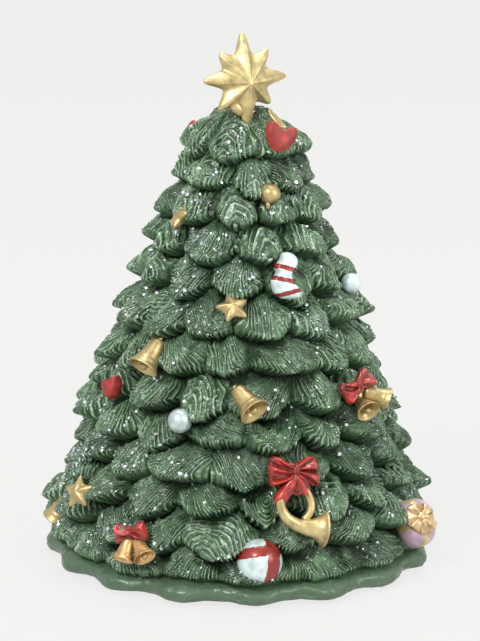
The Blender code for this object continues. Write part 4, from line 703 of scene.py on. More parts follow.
def tier_shape(tier, settings):
    """(grid of one ring of tufts, its normals, the values at its points). Needles and soft lumps push the
    points along the normals, some gaps between tufts are filled, and the tips hook down and outwards. The
    normals are those before the push."""
    radius, (count, first) = TIERS[tier][1], TUFT_TURNS[tier]
    steps = round(TAU * radius / count / (settings.spacing / MM))
    azimuth = math.radians(first) + TAU * (np.arange(count * steps) / (count * steps) - 0.5 / count)
    tuft, across, share = across_tuft(tier, azimuth + 1e-9)
    swell = lip_line(tier, azimuth)[2]
    profile, places, root_row, slant = tier_profile(tier, azimuth, across, swell)
    end_row = root_row + CROWN_KNOTS
    points = round_tree(profile, azimuth)
    normals = grid_normals(points)

    along = np.clip((places - root_row) / CROWN_KNOTS, 0, 1.25)[:, None]
    width = TAU * profile[..., 0] / count * share
    number = needle_numbers(across, along, width, slant, tuft, tier, settings.pitch / MM)
    crest, unbroken = needle_cuts(number, along * slant, tuft)
    shown = (1 - smooth_step(end_row + 1.9, end_row + 3.1, places))[:, None]
    shown = shown * (0.6 + 0.4 * smooth_step(0, 0.4, swell))
    if tier:
        shown = shown * smooth_step(root_row - 0.6, root_row + 0.35, places)[:, None]
    else:
        shown = shown * smooth_step(1.0, 5.0, profile[..., 0])
    lumps = noise(across * width / 3.6 + 31 * tuft, along * slant / 3.8 + 5 * tier, 11) - 0.5
    lumps = lumps + 0.5 * noise(across * width / 1.25 + 13 * tuft, along * slant / 1.9 + 3 * tier, 12) - 0.25
    deeper = 0.8 + 0.6 * smooth_step(0.5, 1.0, along)
    joined = smooth_step(0.4, 0.9, hashed(tier, (tuft + (across > 0)) % count, 21)) * (1 - swell)
    push = (settings.lumps / MM * lumps + settings.depth / MM * deeper * (crest - 0.6)
            + GAP_FILL * fullness(tier) * joined) * shown
    hook = np.exp(-((places - end_row - 0.7) / 0.75) ** 2)[:, None] * TIP_HOOK * fullness(tier)
    hook = hook * swell ** 5 * (0.3 + hashed(tier, tuft, 22))
    hanging = np.concatenate([0.7 * outward(azimuth), np.full((len(azimuth), 1), -0.7)], -1)
    points = points + normals * push[..., None] + hanging * hook[..., None]

    # The open value carries painted shade: it is low near the root under the tier above, falls away under the
    # lip and is low in the gaps between tufts, and the finish darkens the paint there.
    covered = smooth_step(root_row - 0.2, root_row + 1.5, places)
    if not tier:
        covered = 0.4 + 0.6 * smooth_step(0, 3, places)
    covered = covered * (1 - 0.8 * smooth_step(end_row + 0.9, end_row + 1.7, places))
    opening = covered[:, None] * (0.2 + 0.8 * smooth_step(0, 0.6, swell + 0.6 * joined))
    return points, normals, {"needle": number, "relief": unbroken * shown, "open": opening}


def core_shape():
    """Grid of the core with its scalloped foot rim, the recess and the cavity, from its top to the roof of
    the cavity. The rim runs in by a cosine between its lobes."""
    azimuth = TAU * np.arange(RIM_STEPS) / RIM_STEPS
    wave = (1 - np.cos(BASE_LOBES * (azimuth - math.radians(BASE_LOBE_AZIMUTH)))) / 2
    uneven = noise(azimuth * 9, 0 * azimuth, 12) - 0.5
    one = np.ones_like(azimuth)

    def rim(inset, height, wavy=1.0):
        return np.stack([BASE_RADIUS - inset - (BASE_LOBE_DEPTH * wave + 0.5 * uneven) * wavy,
                         height + BASE_LOBE_RISE * wave * wavy])

    def ring(radius, height):
        return np.stack([radius * one, height * one])

    skirt = smooth_line([rim(11, 10.5, 0), rim(4.6, SKIRT_HEIGHT + 1.6), rim(1.6, SKIRT_HEIGHT),
                         rim(0.2, 4.2), rim(0, SKIRT_HEIGHT * 0.5), rim(0.15, 1.8), rim(0.8, RIM_HEIGHT),
                         rim(2.4, RIM_HEIGHT, 0.7)], SKIRT_ROWS)
    rings = [[ring(0, 118), ring(12, 118)], skirt,
             [ring(53, RIM_HEIGHT), ring(RECESS_RADIUS, RIM_HEIGHT),
              ring(RECESS_RADIUS, SHELF_HEIGHT), ring(CAVITY_RADIUS, SHELF_HEIGHT),
              ring(CAVITY_RADIUS, CAVITY_TOP - CAVITY_CHAMFER),
              ring(CAVITY_RADIUS - CAVITY_CHAMFER, CAVITY_TOP), ring(0, CAVITY_TOP)]]
    profile = np.concatenate([np.array(part) for part in rings]).transpose(0, 2, 1)
    rows = np.arange(len(profile))[:, None]
    dents = noise(azimuth * 22, rows / 7, 14) + 0.5 * noise(azimuth * 60, rows / 3, 15) - 0.75
    on_skirt = (rows > 3) & (rows < SKIRT_ROWS)
    profile[..., 0] += 0.7 * dents * on_skirt * smooth_step(0.5, 1.0, wave + 0.8)
    return round_tree(profile, azimuth)


class MUSICTREE_OT_foliage(bpy.types.Operator):
    """Model the tufts of the tree and its foot, and paint them"""

    bl_idname = "music_tree.foliage"
    bl_label = "Foliage"

    def execute(self, context):
        settings = context.scene.foliage_settings
        paint = foliage_finish("foliage_paint", settings)
        for tier in range(len(TIERS)):
            points, _, values = tier_shape(tier, settings)
            make_piece(f"foliage_tier_{tier + 1:02d}", [(points, values)], paint,
                       ["tree_casting"], closed=tier > 0)
        make_piece("foot_and_core", [(core_shape(), {"open": 0.9})],
                   foliage_finish("rim_paint", settings, 0.85), ["tree_casting"])
        return {"FINISHED"}


class MUSICTREE_OT_glitter(bpy.types.Operator):
    """Scatter glitter flakes and silver dust over the tufts"""

    bl_idname = "music_tree.glitter"
    bl_label = "Glitter"

    def execute(self, context):
        settings = context.scene.glitter_settings
        random = np.random.default_rng(GLITTER_SEED)
        spots, normals, weights = [], [], []
        for tier in range(len(TIERS)):
            points, out, values = tier_shape(tier, context.scene.foliage_settings)
            opening = values["open"]
            patch = noise(points[..., 0] / 15 + 20, points[..., 2] / 12 + points[..., 1] / 17, 13)
            area = np.linalg.norm(np.cross(np.gradient(points, axis=0), np.gradient(points, axis=1)), axis=-1)
            upward = smooth_step(-0.2, 0.5, out[..., 2])
            # More flakes on the sides of the tufts that face front-left.
            facing_front_left = smooth_step(-0.4, 0.9, out @ np.array([-0.75, -0.65, 0]))
            chance = area * opening ** 1.5 * upward * (0.3 + smooth_step(0.4, 0.8, patch)) * (0.5 + facing_front_left)
            spots.append(points.reshape(-1, 3))
            normals.append(out.reshape(-1, 3))
            weights.append(chance.ravel())
        spots, normals, weights = np.concatenate(spots), np.concatenate(normals), np.concatenate(weights)
        material = glitter_finish()
        for name, count, size in (("glitter_flakes", settings.flakes, settings.flake_size / MM),
                                  ("glitter_dust", settings.dust, settings.dust_size / MM)):
            chosen = random.choice(len(spots), count, replace=False, p=weights / weights.sum())
            flakes = self.flakes(random, spots[chosen], normals[chosen], size)
            tint = np.repeat(random.random(count), flakes.shape[1])
            make_flakes(name, flakes, tint, material)
        return {"FINISHED"}

    @staticmethod
    def flakes(random, spots, normals, size):
        """Eight points of each flake: a tilted hexagon, and a point above and below its middle."""
        tilted = unit(normals + random.normal(0, 0.35, normals.shape))
        side = unit(np.cross(tilted, random.normal(0, 1, normals.shape)))
        other = np.cross(tilted, side)
        radius = size * random.uniform(0.65, 1.25, (len(spots), 1, 1))
        angle = (TAU * np.arange(6) / 6)[None, :, None]
        rim = radius * (np.cos(angle) * side[:, None] + np.sin(angle) * other[:, None])
        caps = radius * np.array([0.38, -0.6])[None, :, None] * tilted[:, None]
        return (spots + 0.35 * size * normals)[:, None] + np.concatenate([rim, caps], axis=1)


def make_flakes(name, flakes, tint, material):
    """One mesh of many flakes, each a hexagon with a point above and one below."""
    count = len(flakes)
    ring = np.arange(6)
    following = (ring + 1) % 6
    faces = np.concatenate([np.stack([ring, following, np.full(6, 6)], 1),
                            np.stack([following, ring, np.full(6, 7)], 1)])
    faces = (faces[None] + 8 * np.arange(count)[:, None, None]).reshape(-1, 3)
    mesh = bpy.data.meshes.new(name)
    mesh.from_pydata((flakes.reshape(-1, 3) * MM).tolist(), [], faces.tolist())
    keep_values(mesh, "tint", tint)
    mesh.materials.append(material)
    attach(new_object(name, mesh), "tree")


# Ornament shapes

def star_patch(arms, notch, thickness, edge, soft, rounding, middle=(0, 0), rows=40, steps=16):
    """A ridged star. Its outline runs from tip to notch, is blurred soft times and grows by the rounding, so
    that the tips are blunt. The face falls from the middle to the outline, which leaves a ridge down each
    arm, and the rim is edge thick on each side of the plane."""
    points = len(arms)
    places = np.arange(2 * points * steps)
    corner = places // steps
    share = (places % steps) / steps
    reach = np.where(corner % 2, notch, np.array(arms)[corner // 2])
    angle = math.pi / 2 + corner * math.pi / points
    tips = np.stack([reach * np.cos(angle), reach * np.sin(angle)], -1)
    outline = tips + (np.roll(tips, -steps, axis=0) - tips) * share[:, None]
    outline = blurred(outline, soft)
    along = unit(np.roll(outline, -1, axis=0) - np.roll(outline, 1, axis=0))
    outline = outline + rounding * along[:, ::-1] * [1, -1]
    a = np.linspace(0, math.pi, rows)[:, None]
    inwards = np.minimum(1, np.sin(a) ** 0.9)
    height = np.sign(np.cos(a)) * (1 - inwards) ** 0.85 * (thickness / 2 - edge) + np.cos(a) * edge
    flat = np.array(middle) + (outline - middle) * inwards[..., None]
    return np.concatenate([flat, (height + 0 * flat[..., 0])[..., None]], -1), {}


def heart_outline(width, steps=96):
    """x = (sin t)^1.7 and y = (12 cos t - 5 cos 2t - 2 cos 3t - 0.6 cos 4t) / 16, for t once round, blurred
    so that the tip is blunt."""
    t = TAU * np.arange(steps) / steps
    y = (12 * np.cos(t) - 5 * np.cos(2 * t) - 2 * np.cos(3 * t) - 0.6 * np.cos(4 * t)) / 16
    return blurred(np.stack([np.sign(np.sin(t)) * np.abs(np.sin(t)) ** 1.7, y], -1) * width / 2, 22)


def bell_patches(size, mouth):
    """A bell along local -Y, with a knob, a raised band, a flared lip, an open mouth and the clapper."""
    outside = smooth_line([(0.02, 1.0), (0.26, 0.985), (0.46, 0.91), (0.54, 0.78), (0.58, 0.6), (0.64, 0.42),
                           (0.73, 0.25), (0.87, 0.1), (1.0, 0.0)], 40)
    lip = smooth_line([(1.0, 0.0), (1.03, -0.035), (0.97, -0.05), (0.88, -0.01)], 9)[1:]
    inside = smooth_line([(0.88, -0.01), (0.62, 0.12), (0.46, 0.3), (0.3, 0.42), (0.02, 0.46)], 20)[1:]
    profile = np.concatenate([[(0, 1.0)], outside, lip, inside, [(0, 0.46)]])
    band = np.exp(-((profile[:, 1] - 0.2) / 0.03) ** 2) * (np.arange(len(profile)) <= len(outside))
    profile[:, 0] += 0.035 * band
    body = turned(profile * [mouth, size], 48)
    clapper = placed(ball(0.27 * mouth, rows=14, columns=20), at(0, 0, 0.02 * size))
    stem = tube([(0, 0, 0.08 * size), (0, 0, 0.44 * size)], 0.09 * mouth, sides=10, normal=(0, 1, 0))
    knob = placed(ball(0.17 * mouth, (1, 1, 1.2), 12, 18), at(0, 0, 1.02 * size))
    return [placed(patch, turn(-90, "X")) for patch in (body, clapper, stem, knob)]


def ribbon_lobe(reach, root, width, thickness, creases, kind):
    """One loop of a bow along local +X: a tube that widens from the knot, with creases that fade out. The
    crease pattern is a sine of the angle round the tube."""
    rows, sides = 30, 56
    along = np.linspace(0, 1, rows)
    path = np.stack([reach * along, 0 * along, 0 * along], -1)
    close = np.sqrt(np.clip(1 - ((along - 0.9) / 0.12).clip(0, 1) ** 2.5, 0.05, 1))
    half = (root + (width - root) * along ** 0.75) * close
    deep = thickness * (0.55 + 0.45 * np.sin(math.pi * np.clip(along * 1.1, 0, 1))) * close
    points, values = tube(path, half, deep, sides)
    angle = TAU * np.arange(sides) / sides
    fade = np.concatenate([[0], np.sin(math.pi * along * 0.9) * (1 - 0.55 * along), [0]])[:, None]
    across = np.cos(angle)
    twist = 0.8 * np.linspace(0, 1, rows + 2)[:, None]
    crease = np.sin(creases * math.pi * across + 5 * hashed(kind, 1.0) + twist)
    points[..., 2] += 0.16 * thickness * fade * crease * np.sign(np.sin(angle)) * np.abs(np.sin(angle)) ** 0.5
    return points, values


LEFT_LOOP = [(-7.6, 3.7), (-5.0, 4.1), (-2.9, 2.9), (-0.2, 1.9), (0.4, -0.2), (-0.3, -2.3), (-3.0, -3.4),
             (-5.6, -4.2), (-7.7, -4.0), (-8.0, -0.4)]
RIGHT_LOOP = [(-0.3, 1.9), (1.9, 3.0), (3.9, 4.1), (6.3, 3.8), (6.8, 0.6), (7.5, -3.5), (5.7, -4.5),
              (3.0, -3.2), (0.4, -2.3), (-0.4, -0.2)]
BOW_TAILS = [(-1.5, -0.6), (-3.6, -3.2), (-5.6, -5.6), (-7.0, -8.6), (-5.3, -8.3), (-3.9, -9.9), (-2.7, -7.4),
             (-1.2, -6.4), (0.6, -7.0), (2.2, -6.3), (3.8, -7.2), (4.6, -5.0), (3.6, -2.6), (1.8, -0.6)]


def folded(outline, centre, thickness, folds, kind, steps=120):
    """A puffed patch with folds that spread from the knot: sin(folds b + c) times a share that fades to the
    outline, where b is the direction from the knot."""
    def lift(x, y, share):
        return 0.24 * thickness * ripple(x, y) * (1 - share ** 6)

    def ripple(x, y):
        direction = np.arctan2(y, np.abs(x) + 0.6)
        wave = np.sin(folds * direction + 6 * hashed(kind, 2.0) + 0.35 * x)
        return (wave + 0.5 * np.sin(1.9 * folds * direction + x)) * smooth_step(0.0, 2.6, np.hypot(x, y))

    points, _ = puffed(closed_line(outline, steps), centre, thickness, flat=0.3, rows=30, lift=lift)
    # The fold value also goes to the finish, which paints shade into the hollows of the folds and highlights
    # onto their ridges.
    return points, {"fold": ripple(points[..., 0], points[..., 1])}


def bow_patches(span, tails=True, kind=0.0, tilt=0.0, folds=12):
    """A bow: two puffed loops with folds, a pinched knot and, below it, two short tails."""
    size = span / 15
    patches = [placed(folded(LEFT_LOOP, (-4.4, 0), LOOP_THICKNESS, folds, kind + 1), turn(tilt, "Z")),
               placed(folded(RIGHT_LOOP, (4.0, 0), LOOP_THICKNESS, folds, kind + 2), turn(tilt, "Z"))]
    knot = ball(1.0, (1.5, 1.9, 2.3), 22, 40)
    knot[0][..., 2] *= 1 + 0.13 * np.sin(4.2 * knot[0][..., 0] + 0.8 * knot[0][..., 1])
    patches.append(knot)
    if tails:
        ends = folded(BOW_TAILS, (-0.8, -4.6), TAIL_THICKNESS, 7, kind + 3, steps=150)
        patches.append(placed(ends, at(0, -0.4, 0.9)))
    return scaled(patches, size)


STOCKING = [(-0.7, 6.9), (1.3, 7.0), (3.1, 6.0), (3.8, 4.5), (2.8, 3.0), (2.2, 2.0), (1.6, 1.0), (1.7, -0.8),
            (2.2, -2.4), (3.6, -3.8), (4.7, -5.3), (4.2, -6.5), (2.6, -7.0), (-1.7, -6.4), (-3.8, -5.1),
            (-4.7, -2.7), (-4.6, -0.4), (-3.2, 1.0), (-2.7, 2.1), (-3.3, 3.4), (-2.3, 4.4), (-1.4, 5.4)]


def stocking_patch():
    """A stuffed stocking. Its stripes are bands of local height, the lowest one tilted like the foot."""
    outline = closed_line(STOCKING, 120)

    def folds(x, y, share):
        cuff = smooth_step(2.7, 3.1, y + 0.28 * x)
        return 0.6 * cuff * (1 - share ** 8) + 0.12 * np.sin(2.2 * x + y) * (1 - share)

    points, _ = puffed(outline, (-0.8, -1.0), STOCKING_THICKNESS, flat=0.36, rows=56, lift=folds)
    x, y = points[..., 0], points[..., 1]
    stripes = [(2.3 - 0.36 * x, 0.72), (-1.3 - 0.3 * x, 0.7), (-4.8 + 0.17 * x, 0.68)]
    return points, {"band": np.max([half - np.abs(y - middle) for middle, half in stripes], axis=0)}


def horn_patches(size):
    """A hunting horn: one tube that loops round, overlaps itself and flares into an open bell."""
    line = smooth_line([(0.06, 0.46, 0.0), (0.14, 0.32, 0.0), (0.18, 0.14, 0.0), (0.13, -0.02, 0.0),
                        (0.03, -0.13, -0.03)], 24)
    left = smooth_line([(-0.34, 0.52, -0.02), (-0.45, 0.36, 0.0), (-0.44, 0.14, 0.01), (-0.34, -0.06, 0.02),
                        (-0.16, -0.2, 0.03), (0.04, -0.27, 0.04), (0.24, -0.31, 0.05), (0.36, -0.33, 0.05)],
                       60)
    widths = np.interp(np.linspace(0, 1, 60), [0, 0.3, 0.6, 0.78, 0.9, 1],
                       [0.075, 0.095, 0.13, 0.175, 0.24, 0.34])
    bend = tube(line * size, 0.074 * size, sides=28)
    pipe = tube(left * size, widths * size, sides=28)
    points = pipe[0][:-1]
    centre, rim = left[-1] * size, points[-1]
    # The lip and the inside of the bell: a share of its radius, and how far out it lies
    outwards = unit(left[-1] - left[-2]) * size
    steps = [(1.1, 0.022), (1.06, 0.034), (0.96, 0.02), (0.7, -0.1), (0.45, -0.22), (0.0, -0.26)]
    mouth = [centre + (rim - centre) * share + outwards * reach for share, reach in steps]
    return [bend, (np.concatenate([points, mouth]), {})]


def superball(radius, square=3.2, rows=40, columns=64):
    """A ball drawn out towards a box: each point's distance is 1 over the norm of its direction."""
    points, _ = ball(1, rows=rows, columns=columns)
    return points / (np.abs(points) ** square).sum(-1, keepdims=True) ** (1 / square) * radius


def ribboned(points, band, proud):
    """A patch of these points, proud by that share inside the band, which is above 0 there."""
    return points * (1 + proud * smooth_step(-0.02, 0.02, band))[..., None], {"band": band * 3}


# Each band of the large ball: the direction that it is square to, its distance and half its width, in radii
BALL_BANDS = (((-0.114, 0.984, -0.14), 0.41, 0.23), ((0.977, -0.09, -0.195), 0.37, 0.32))


def bauble_patches(radius, drip=False):
    """A bauble, with or without the drip of paint under it."""
    drop = ball(radius * 0.24, (1, 1.7, 1), 12, 16)
    return [ball(radius)] + [placed(drop, at(-0.35 * radius, -1.08 * radius, 0.2 * radius))] * drip


# Ornament operators

class OrnamentOperator:
    """What the ornament operators share. A spot is what on_tree takes: azimuth in degrees, height and inset
    in millimetres, then lean, roll and swing in degrees"""

    bl_options = {"REGISTER", "UNDO"}

    def put(self, name, patches, place, material, slot):
        """Makes the piece that stands for the node of that name, at its place in millimetres."""
        patches = [placed(patch, place) for patch in patches]
        make_piece(f"painted_{name}", patches, material, [name])


def star_place():
    """The star stands on the front of the top, faces a little to the right and leans back."""
    height = STAR_TIP_HEIGHT - STAR_ARM * math.cos(math.radians(STAR_LEAN))
    return at(0, -STAR_FORWARD, height, turn(STAR_YAW, "Z") @ turn(-STAR_LEAN, "X") @ turn(90, "X"))


class MUSICTREE_OT_stars(OrnamentOperator, bpy.types.Operator):
    """Model the star on the top and the small stars"""

    bl_idname = "music_tree.stars"
    bl_label = "Stars"

    def execute(self, context):
        colours = context.scene.paint_settings
        topper = star_patch(STAR_ARMS, STAR_NOTCH, STAR_THICKNESS, edge=1.4, soft=50, rounding=0.5,
                            middle=(0, -1.6), rows=60, steps=24)
        lump = placed(ball(1.8, (1.6, 0.9, 0.8), 16, 24), at(-3.2, -8.6, 0.2, turn(-50, "Z")))
        peg = placed(tube([(0, -9, 0), (0, -16, 0)], 1.8), at(0, 0, 4.4 - STAR_FORWARD, turn(STAR_LEAN, "X")))
        self.put("star_topper", [topper, lump, peg], star_place() @ at(0, -0.8, 0),
                 gold_finish("star_gold", colours.pale_gold), "gold_paint")
        gold = gold_finish("small_star_gold", colours.gold)
        small = star_patch(SMALL_STAR_ARMS, SMALL_STAR_NOTCH, SMALL_STAR_THICKNESS, edge=0.9, soft=8,
                           rounding=0.3, rows=30, steps=14)
        for name, spot in (("star_upper_left", (-46, 108.1, 0, 37, 8, -42)),
                           ("star_centre", (-4.6, 84.3, 0, 46, 14, 10)),
                           ("star_low_left", (-58.6, 26.1, -1.9, 24, 12, 22))):
            self.put(name, [small], on_tree(*spot), gold, "gold_paint")
        return {"FINISHED"}


class MUSICTREE_OT_hearts(OrnamentOperator, bpy.types.Operator):
    """Model the red hearts and the gold strip behind the front one"""

    bl_idname = "music_tree.hearts"
    bl_label = "Hearts"

    def execute(self, context):
        red = gloss_finish("heart_red", context.scene.paint_settings.red, metallic=0.05, roughness=0.5,
                           pale=2.2, coat=0.12)
        hearts = (("heart_front", (33, TOP_HEIGHT - 5.2, -6.6, 14, -20, -8), 10.2),
                  ("heart_left", (-124, TOP_HEIGHT - 8.8, 0.2, 26, 8), 9.4),
                  ("heart_low_left", (-58.5, 57.4, -1.0, 14, 24), 7.6),
                  ("heart_back", (128, 46.5, 0.8, 14, -10), 9.4))
        for name, spot, width in hearts:
            outline = heart_outline(width * 1.02) * [1, 1.08]
            patch = puffed(outline, (0, -0.06 * width), HEART_THICKNESS, flat=0.28, rows=30)
            self.put(name, [patch], on_tree(*spot), red, "red_paint")
        drops = (0.2, 1.4, 3.0, 5.0, 8.0)
        path = smooth_line([on_tree(64, TOP_HEIGHT - drop, -0.4).translation for drop in drops], 30)
        strip = tube(path, 0.4 + 1.1 * np.sin(np.linspace(0.2, 2.9, 30)), 0.9, 20, (0.35, -0.2, 0.9))
        gold = gold_finish("strip_gold", context.scene.paint_settings.pale_gold)
        make_piece("heart_strip", [strip], gold)
        return {"FINISHED"}


class MUSICTREE_OT_baubles(OrnamentOperator, bpy.types.Operator):
    """Model the baubles and the large ball with its painted ribbon"""

    bl_idname = "music_tree.baubles"
    bl_label = "Baubles"

    def execute(self, context):
        colours = context.scene.paint_settings
        gold = gold_finish("bauble_gold", colours.gold)
        pearl = gloss_finish("pearl_paint", colours.pearl, metallic=0.3, pale=1.25, relief=0.012)
        silver = gloss_finish("silver_paint", colours.silver, metallic=0.4, pale=1.6, relief=0.012)
        baubles = (("bauble_gold", (21, 115.7, 0.2), 3.1, gold, "gold_paint"),
                   ("bauble_white", (76, 86.1, -1.0), 3.0, pearl, "white_paint"),
                   ("bauble_silver", (-22.4, 52.5, -0.9), 3.6, silver, "white_paint"),
                   ("bauble_back", (178, 115.5, 0.6), 3.3, gold, "gold_paint"))
        for name, spot, radius, material, slot in baubles:
            self.put(name, bauble_patches(radius, name == "bauble_gold"), on_tree(*spot), material, slot)
        points, _ = ball(BALL_RADIUS, rows=48, columns=72)
        band = np.max([half - np.abs(points @ facing / BALL_RADIUS - middle)
                       for facing, middle, half in BALL_BANDS], axis=0)
        self.put("bauble_striped", [ribboned(points, band, 0.012)], on_tree(6.3, 13.4, 3.0),
                 banded_finish("striped_paint", colours.pearl, colours.red), "white_paint")
        return {"FINISHED"}


class MUSICTREE_OT_bells(OrnamentOperator, bpy.types.Operator):
    """Model the single bells and the two pairs"""

    bl_idname = "music_tree.bells"
    bl_label = "Bells"

    def execute(self, context):
        colours = context.scene.paint_settings
        gold = gold_finish("bell_gold", colours.gold)
        copper = gold_finish("bell_copper_gold", colours.copper_gold)
        singles = (("bell_left", (-41, 69.5, 0.2, 34, -2)), ("bell_centre", (1.5, 59.5, -0.8, 38, 34)),
                   ("bell_far_left", (-84, 14.9, 3.6, 14, -10)), ("bell_back", (168, 68.5, 0.4, 12, 16)),
                   ("bell_back_low", (178, 19.5, 1.8, 14, -12)))
        for name, spot in singles:
            place = on_tree(*spot) @ turn(-10, "X") @ at(0, -BELL_LENGTH / 2, 0)
            self.put(name, bell_patches(BELL_LENGTH, BELL_MOUTH), place, gold, "gold_paint")
        # Each bell of a pair: x and y in sizes of the pair, roll and lean in degrees
        pairs = (("bells_right", (49, 56.7, -1.2, 10, 8, -24), 12.5,
                  ((0.14, -0.36, 0, -52), (0.66, -0.2, 56, -12)), gold),
                 ("bells_left", (-32.8, 16.9, -1.4, 10, 0, 14), 11.5,
                  ((-0.12, -0.4, -6, -22), (0.46, -0.28, 40, -26)), copper))
        for name, spot, size, bells, material in pairs:
            patches = [placed(patch, at(x * size, y * size, 0.17 * size, turn(roll, "Z") @ turn(lean, "X")))
                       for x, y, roll, lean in bells for patch in bell_patches(0.6 * size, 0.29 * size)]
            self.put(name, patches, on_tree(*spot), material, "gold_paint")
        return {"FINISHED"}


class MUSICTREE_OT_bows(OrnamentOperator, bpy.types.Operator):
    """Model the red bows of the bells and of the horn"""

    bl_idname = "music_tree.bows"
    bl_label = "Bows"

    def execute(self, context):
        # The folds of the bows get painted shade in their hollows and painted highlights on their ridges.
        red = gloss_finish("bow_red", context.scene.paint_settings.red, metallic=0.1, roughness=0.26,
                           pale=2.0, folds=0.16)
        for name, spot, size, tilt in (("bow_right", (49, 56.7, -1.2, 10, 8, -24), 12.5, 22),
                                       ("bow_left", (-32.8, 16.9, -0.6, 10, 0, 14), 11.5, 12)):
            place = on_tree(*spot) @ at(0.02 * size, 0.3 * size, 0.14 * size)
            patches = scaled(bow_patches(0.86 * size, False, size, tilt, 5), [1, 1.06, 1.1])
            self.put(name, patches, place, red, "red_paint")
        place = on_tree(18.6, 38.1, -0.8, 14, -4) @ at(-0.4, 1.2, 0)
        self.put("horn_bow", bow_patches(HORN_BOW_SPAN, True, 7), place, red, "red_paint")
        return {"FINISHED"}


class MUSICTREE_OT_stockings(OrnamentOperator, bpy.types.Operator):
    """Model the striped stockings"""

    bl_idname = "music_tree.stockings"
    bl_label = "Stockings"

    def execute(self, context):
        colours = context.scene.paint_settings
        paint = banded_finish("stocking_paint", colours.pearl, colours.red)
        for name, spot in (("stocking_front", (24.4, 92.7, -0.6, 12, 0)),
                           ("stocking_back", (-160, 94.5, 0.2, 12, 8))):
            self.put(name, [stocking_patch()], on_tree(*spot), paint, "white_paint")
        return {"FINISHED"}


class MUSICTREE_OT_horn(OrnamentOperator, bpy.types.Operator):
    """Model the hunting horn"""

    bl_idname = "music_tree.horn"
    bl_label = "Horn"

    def execute(self, context):
        gold = gold_finish("horn_gold", context.scene.paint_settings.pale_gold)
        self.put("horn", horn_patches(HORN_LENGTH), on_tree(19.8, 27.3, -0.8, 10), gold, "gold_paint")
        return {"FINISHED"}


class MUSICTREE_OT_parcel(OrnamentOperator, bpy.types.Operator):
    """Model the round parcel with its ribbon and bow"""

    bl_idname = "music_tree.parcel"
    bl_label = "Parcel"

    def execute(self, context):
        colours = context.scene.paint_settings
        place = on_tree(68.5, 15.1, 0.6, 20, 0, -18)
        radius = PARCEL_RADIUS
        points = superball(radius, 2.6) * [1, 1.25, 0.9]
        x, y = points[..., 0] / radius, points[..., 1] / radius
        band = np.maximum(0.2 - np.abs(x + 0.3), 0.18 - np.abs(y - 0.22 - 0.3 * x))
        self.put("parcel", [ribboned(points, band, 0.03)], place,
                 banded_finish("parcel_paint", colours.pink, colours.gold), "pink_paint")
        gold = gold_finish("ribbon_gold", colours.peach_gold)
        loops = []
        for angle, reach in ((104, 0.95), (36, 0.92), (168, 0.85), (-22, 0.8), (222, 0.85), (-84, 0.95),
                             (-52, 1.05)):
            lobe = ribbon_lobe(reach * radius, 0.14 * radius, 0.42 * radius, 0.42 * radius, 1.6, angle)
            loops.append(placed(lobe, at(0, 0, 0, turn(angle, "Z") @ turn(-10, "Y"))))
        loops.append(placed(ball(0.34 * radius, (1, 1, 0.9), 16, 24), at(0, 0, 0.26 * radius)))
        ribbon = place @ turn(-30, "Y") @ at(0, 0.24 * radius, 0.8 * radius, turn(-14, "X"))
        self.put("parcel_bow", scaled(loops, 0.88), ribbon, gold, "gold_paint")
        return {"FINISHED"}


# Finishes of the nodes that keep their solids: colour, metallic, roughness, size of the clouds in it and
# relief in millimetres, and the stretch of the clouds
SOLID_FINISHES = {
    "green_felt": ((0.03, 0.085, 0.045), 0.0, 0.95, 0.5, 0.12),
    "cover_plastic": ((0.022, 0.022, 0.024), 0.0, 0.5, 0.35, 0.03),
    "screw_steel": ((0.5, 0.5, 0.51), 1.0, 0.35, 0.8, 0.01),
    "key_brass": ((0.66, 0.46, 0.18), 1.0, 0.32, 2.0, 0.015),
    "movement_steel": ((0.52, 0.52, 0.54), 1.0, 0.28, 0.6, 0.01, (8, 1, 1)),
    "movement_brass": ((0.68, 0.48, 0.2), 1.0, 0.3, 0.9, 0.01),
    "bedplate_zinc": ((0.46, 0.47, 0.48), 0.9, 0.48, 1.2, 0.03),
    "fly_plastic": ((0.02, 0.02, 0.022), 0.0, 0.4, 0.5, 0.01),
}
# and the nodes that have each of them
SOLID_NODES = {
    "green_felt": ["felt_ring"],
    "cover_plastic": ["bottom_cover"],
    "screw_steel": ["winding_arbor", "cover_screw_1", "cover_screw_2", "cover_screw_3", "movement_screw_1",
                    "movement_screw_2", "movement_screw_3"],
    "key_brass": ["winding_key"],
    "movement_steel": ["comb", "comb_screw_1", "comb_screw_2", "mainspring", "ratchet_wheel", "click",
                       "click_rivet", "drum_arbor", "governor_arbor", "worm_shaft"],
    "movement_brass": ["spring_barrel", "barrel_lid", "drum", "drum_pinion", "drum_gear", "governor_wheel"],
    "bedplate_zinc": ["bedplate", "drum_bearing", "governor_frame", "barrel_bridge"],
    "fly_plastic": ["fly_blades"],
}


def dress(*finishes):
    """Makes each of these finishes and puts it on its nodes."""
    for finish in finishes:
        material = plain_finish(finish, *SOLID_FINISHES[finish])
        for name in SOLID_NODES[finish]:
            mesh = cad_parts[name].data
            mesh.materials.clear()
            mesh.materials.append(material)


class MUSICTREE_OT_underside(bpy.types.Operator):
    """Give the felt, the cover, its screws and the key their finishes"""

    bl_idname = "music_tree.underside"
    bl_label = "Underside"

    def execute(self, context):
        dress("green_felt", "cover_plastic", "screw_steel", "key_brass")
        return {"FINISHED"}


class MUSICTREE_OT_movement(bpy.types.Operator):
    """Give the pieces of the movement their finishes"""

    bl_idname = "music_tree.movement"
    bl_label = "Movement"

    def execute(self, context):
        dress("movement_steel", "movement_brass", "bedplate_zinc", "fly_plastic")
        return {"FINISHED"}


def looking(spot, aim):
    """Matrix of a camera or lamp at a spot that looks at its aim."""
    spot, aim = Vector(spot), Vector(aim)
    return Matrix.Translation(spot) @ (aim - spot).to_track_quat("-Z", "Y").to_matrix().to_4x4()


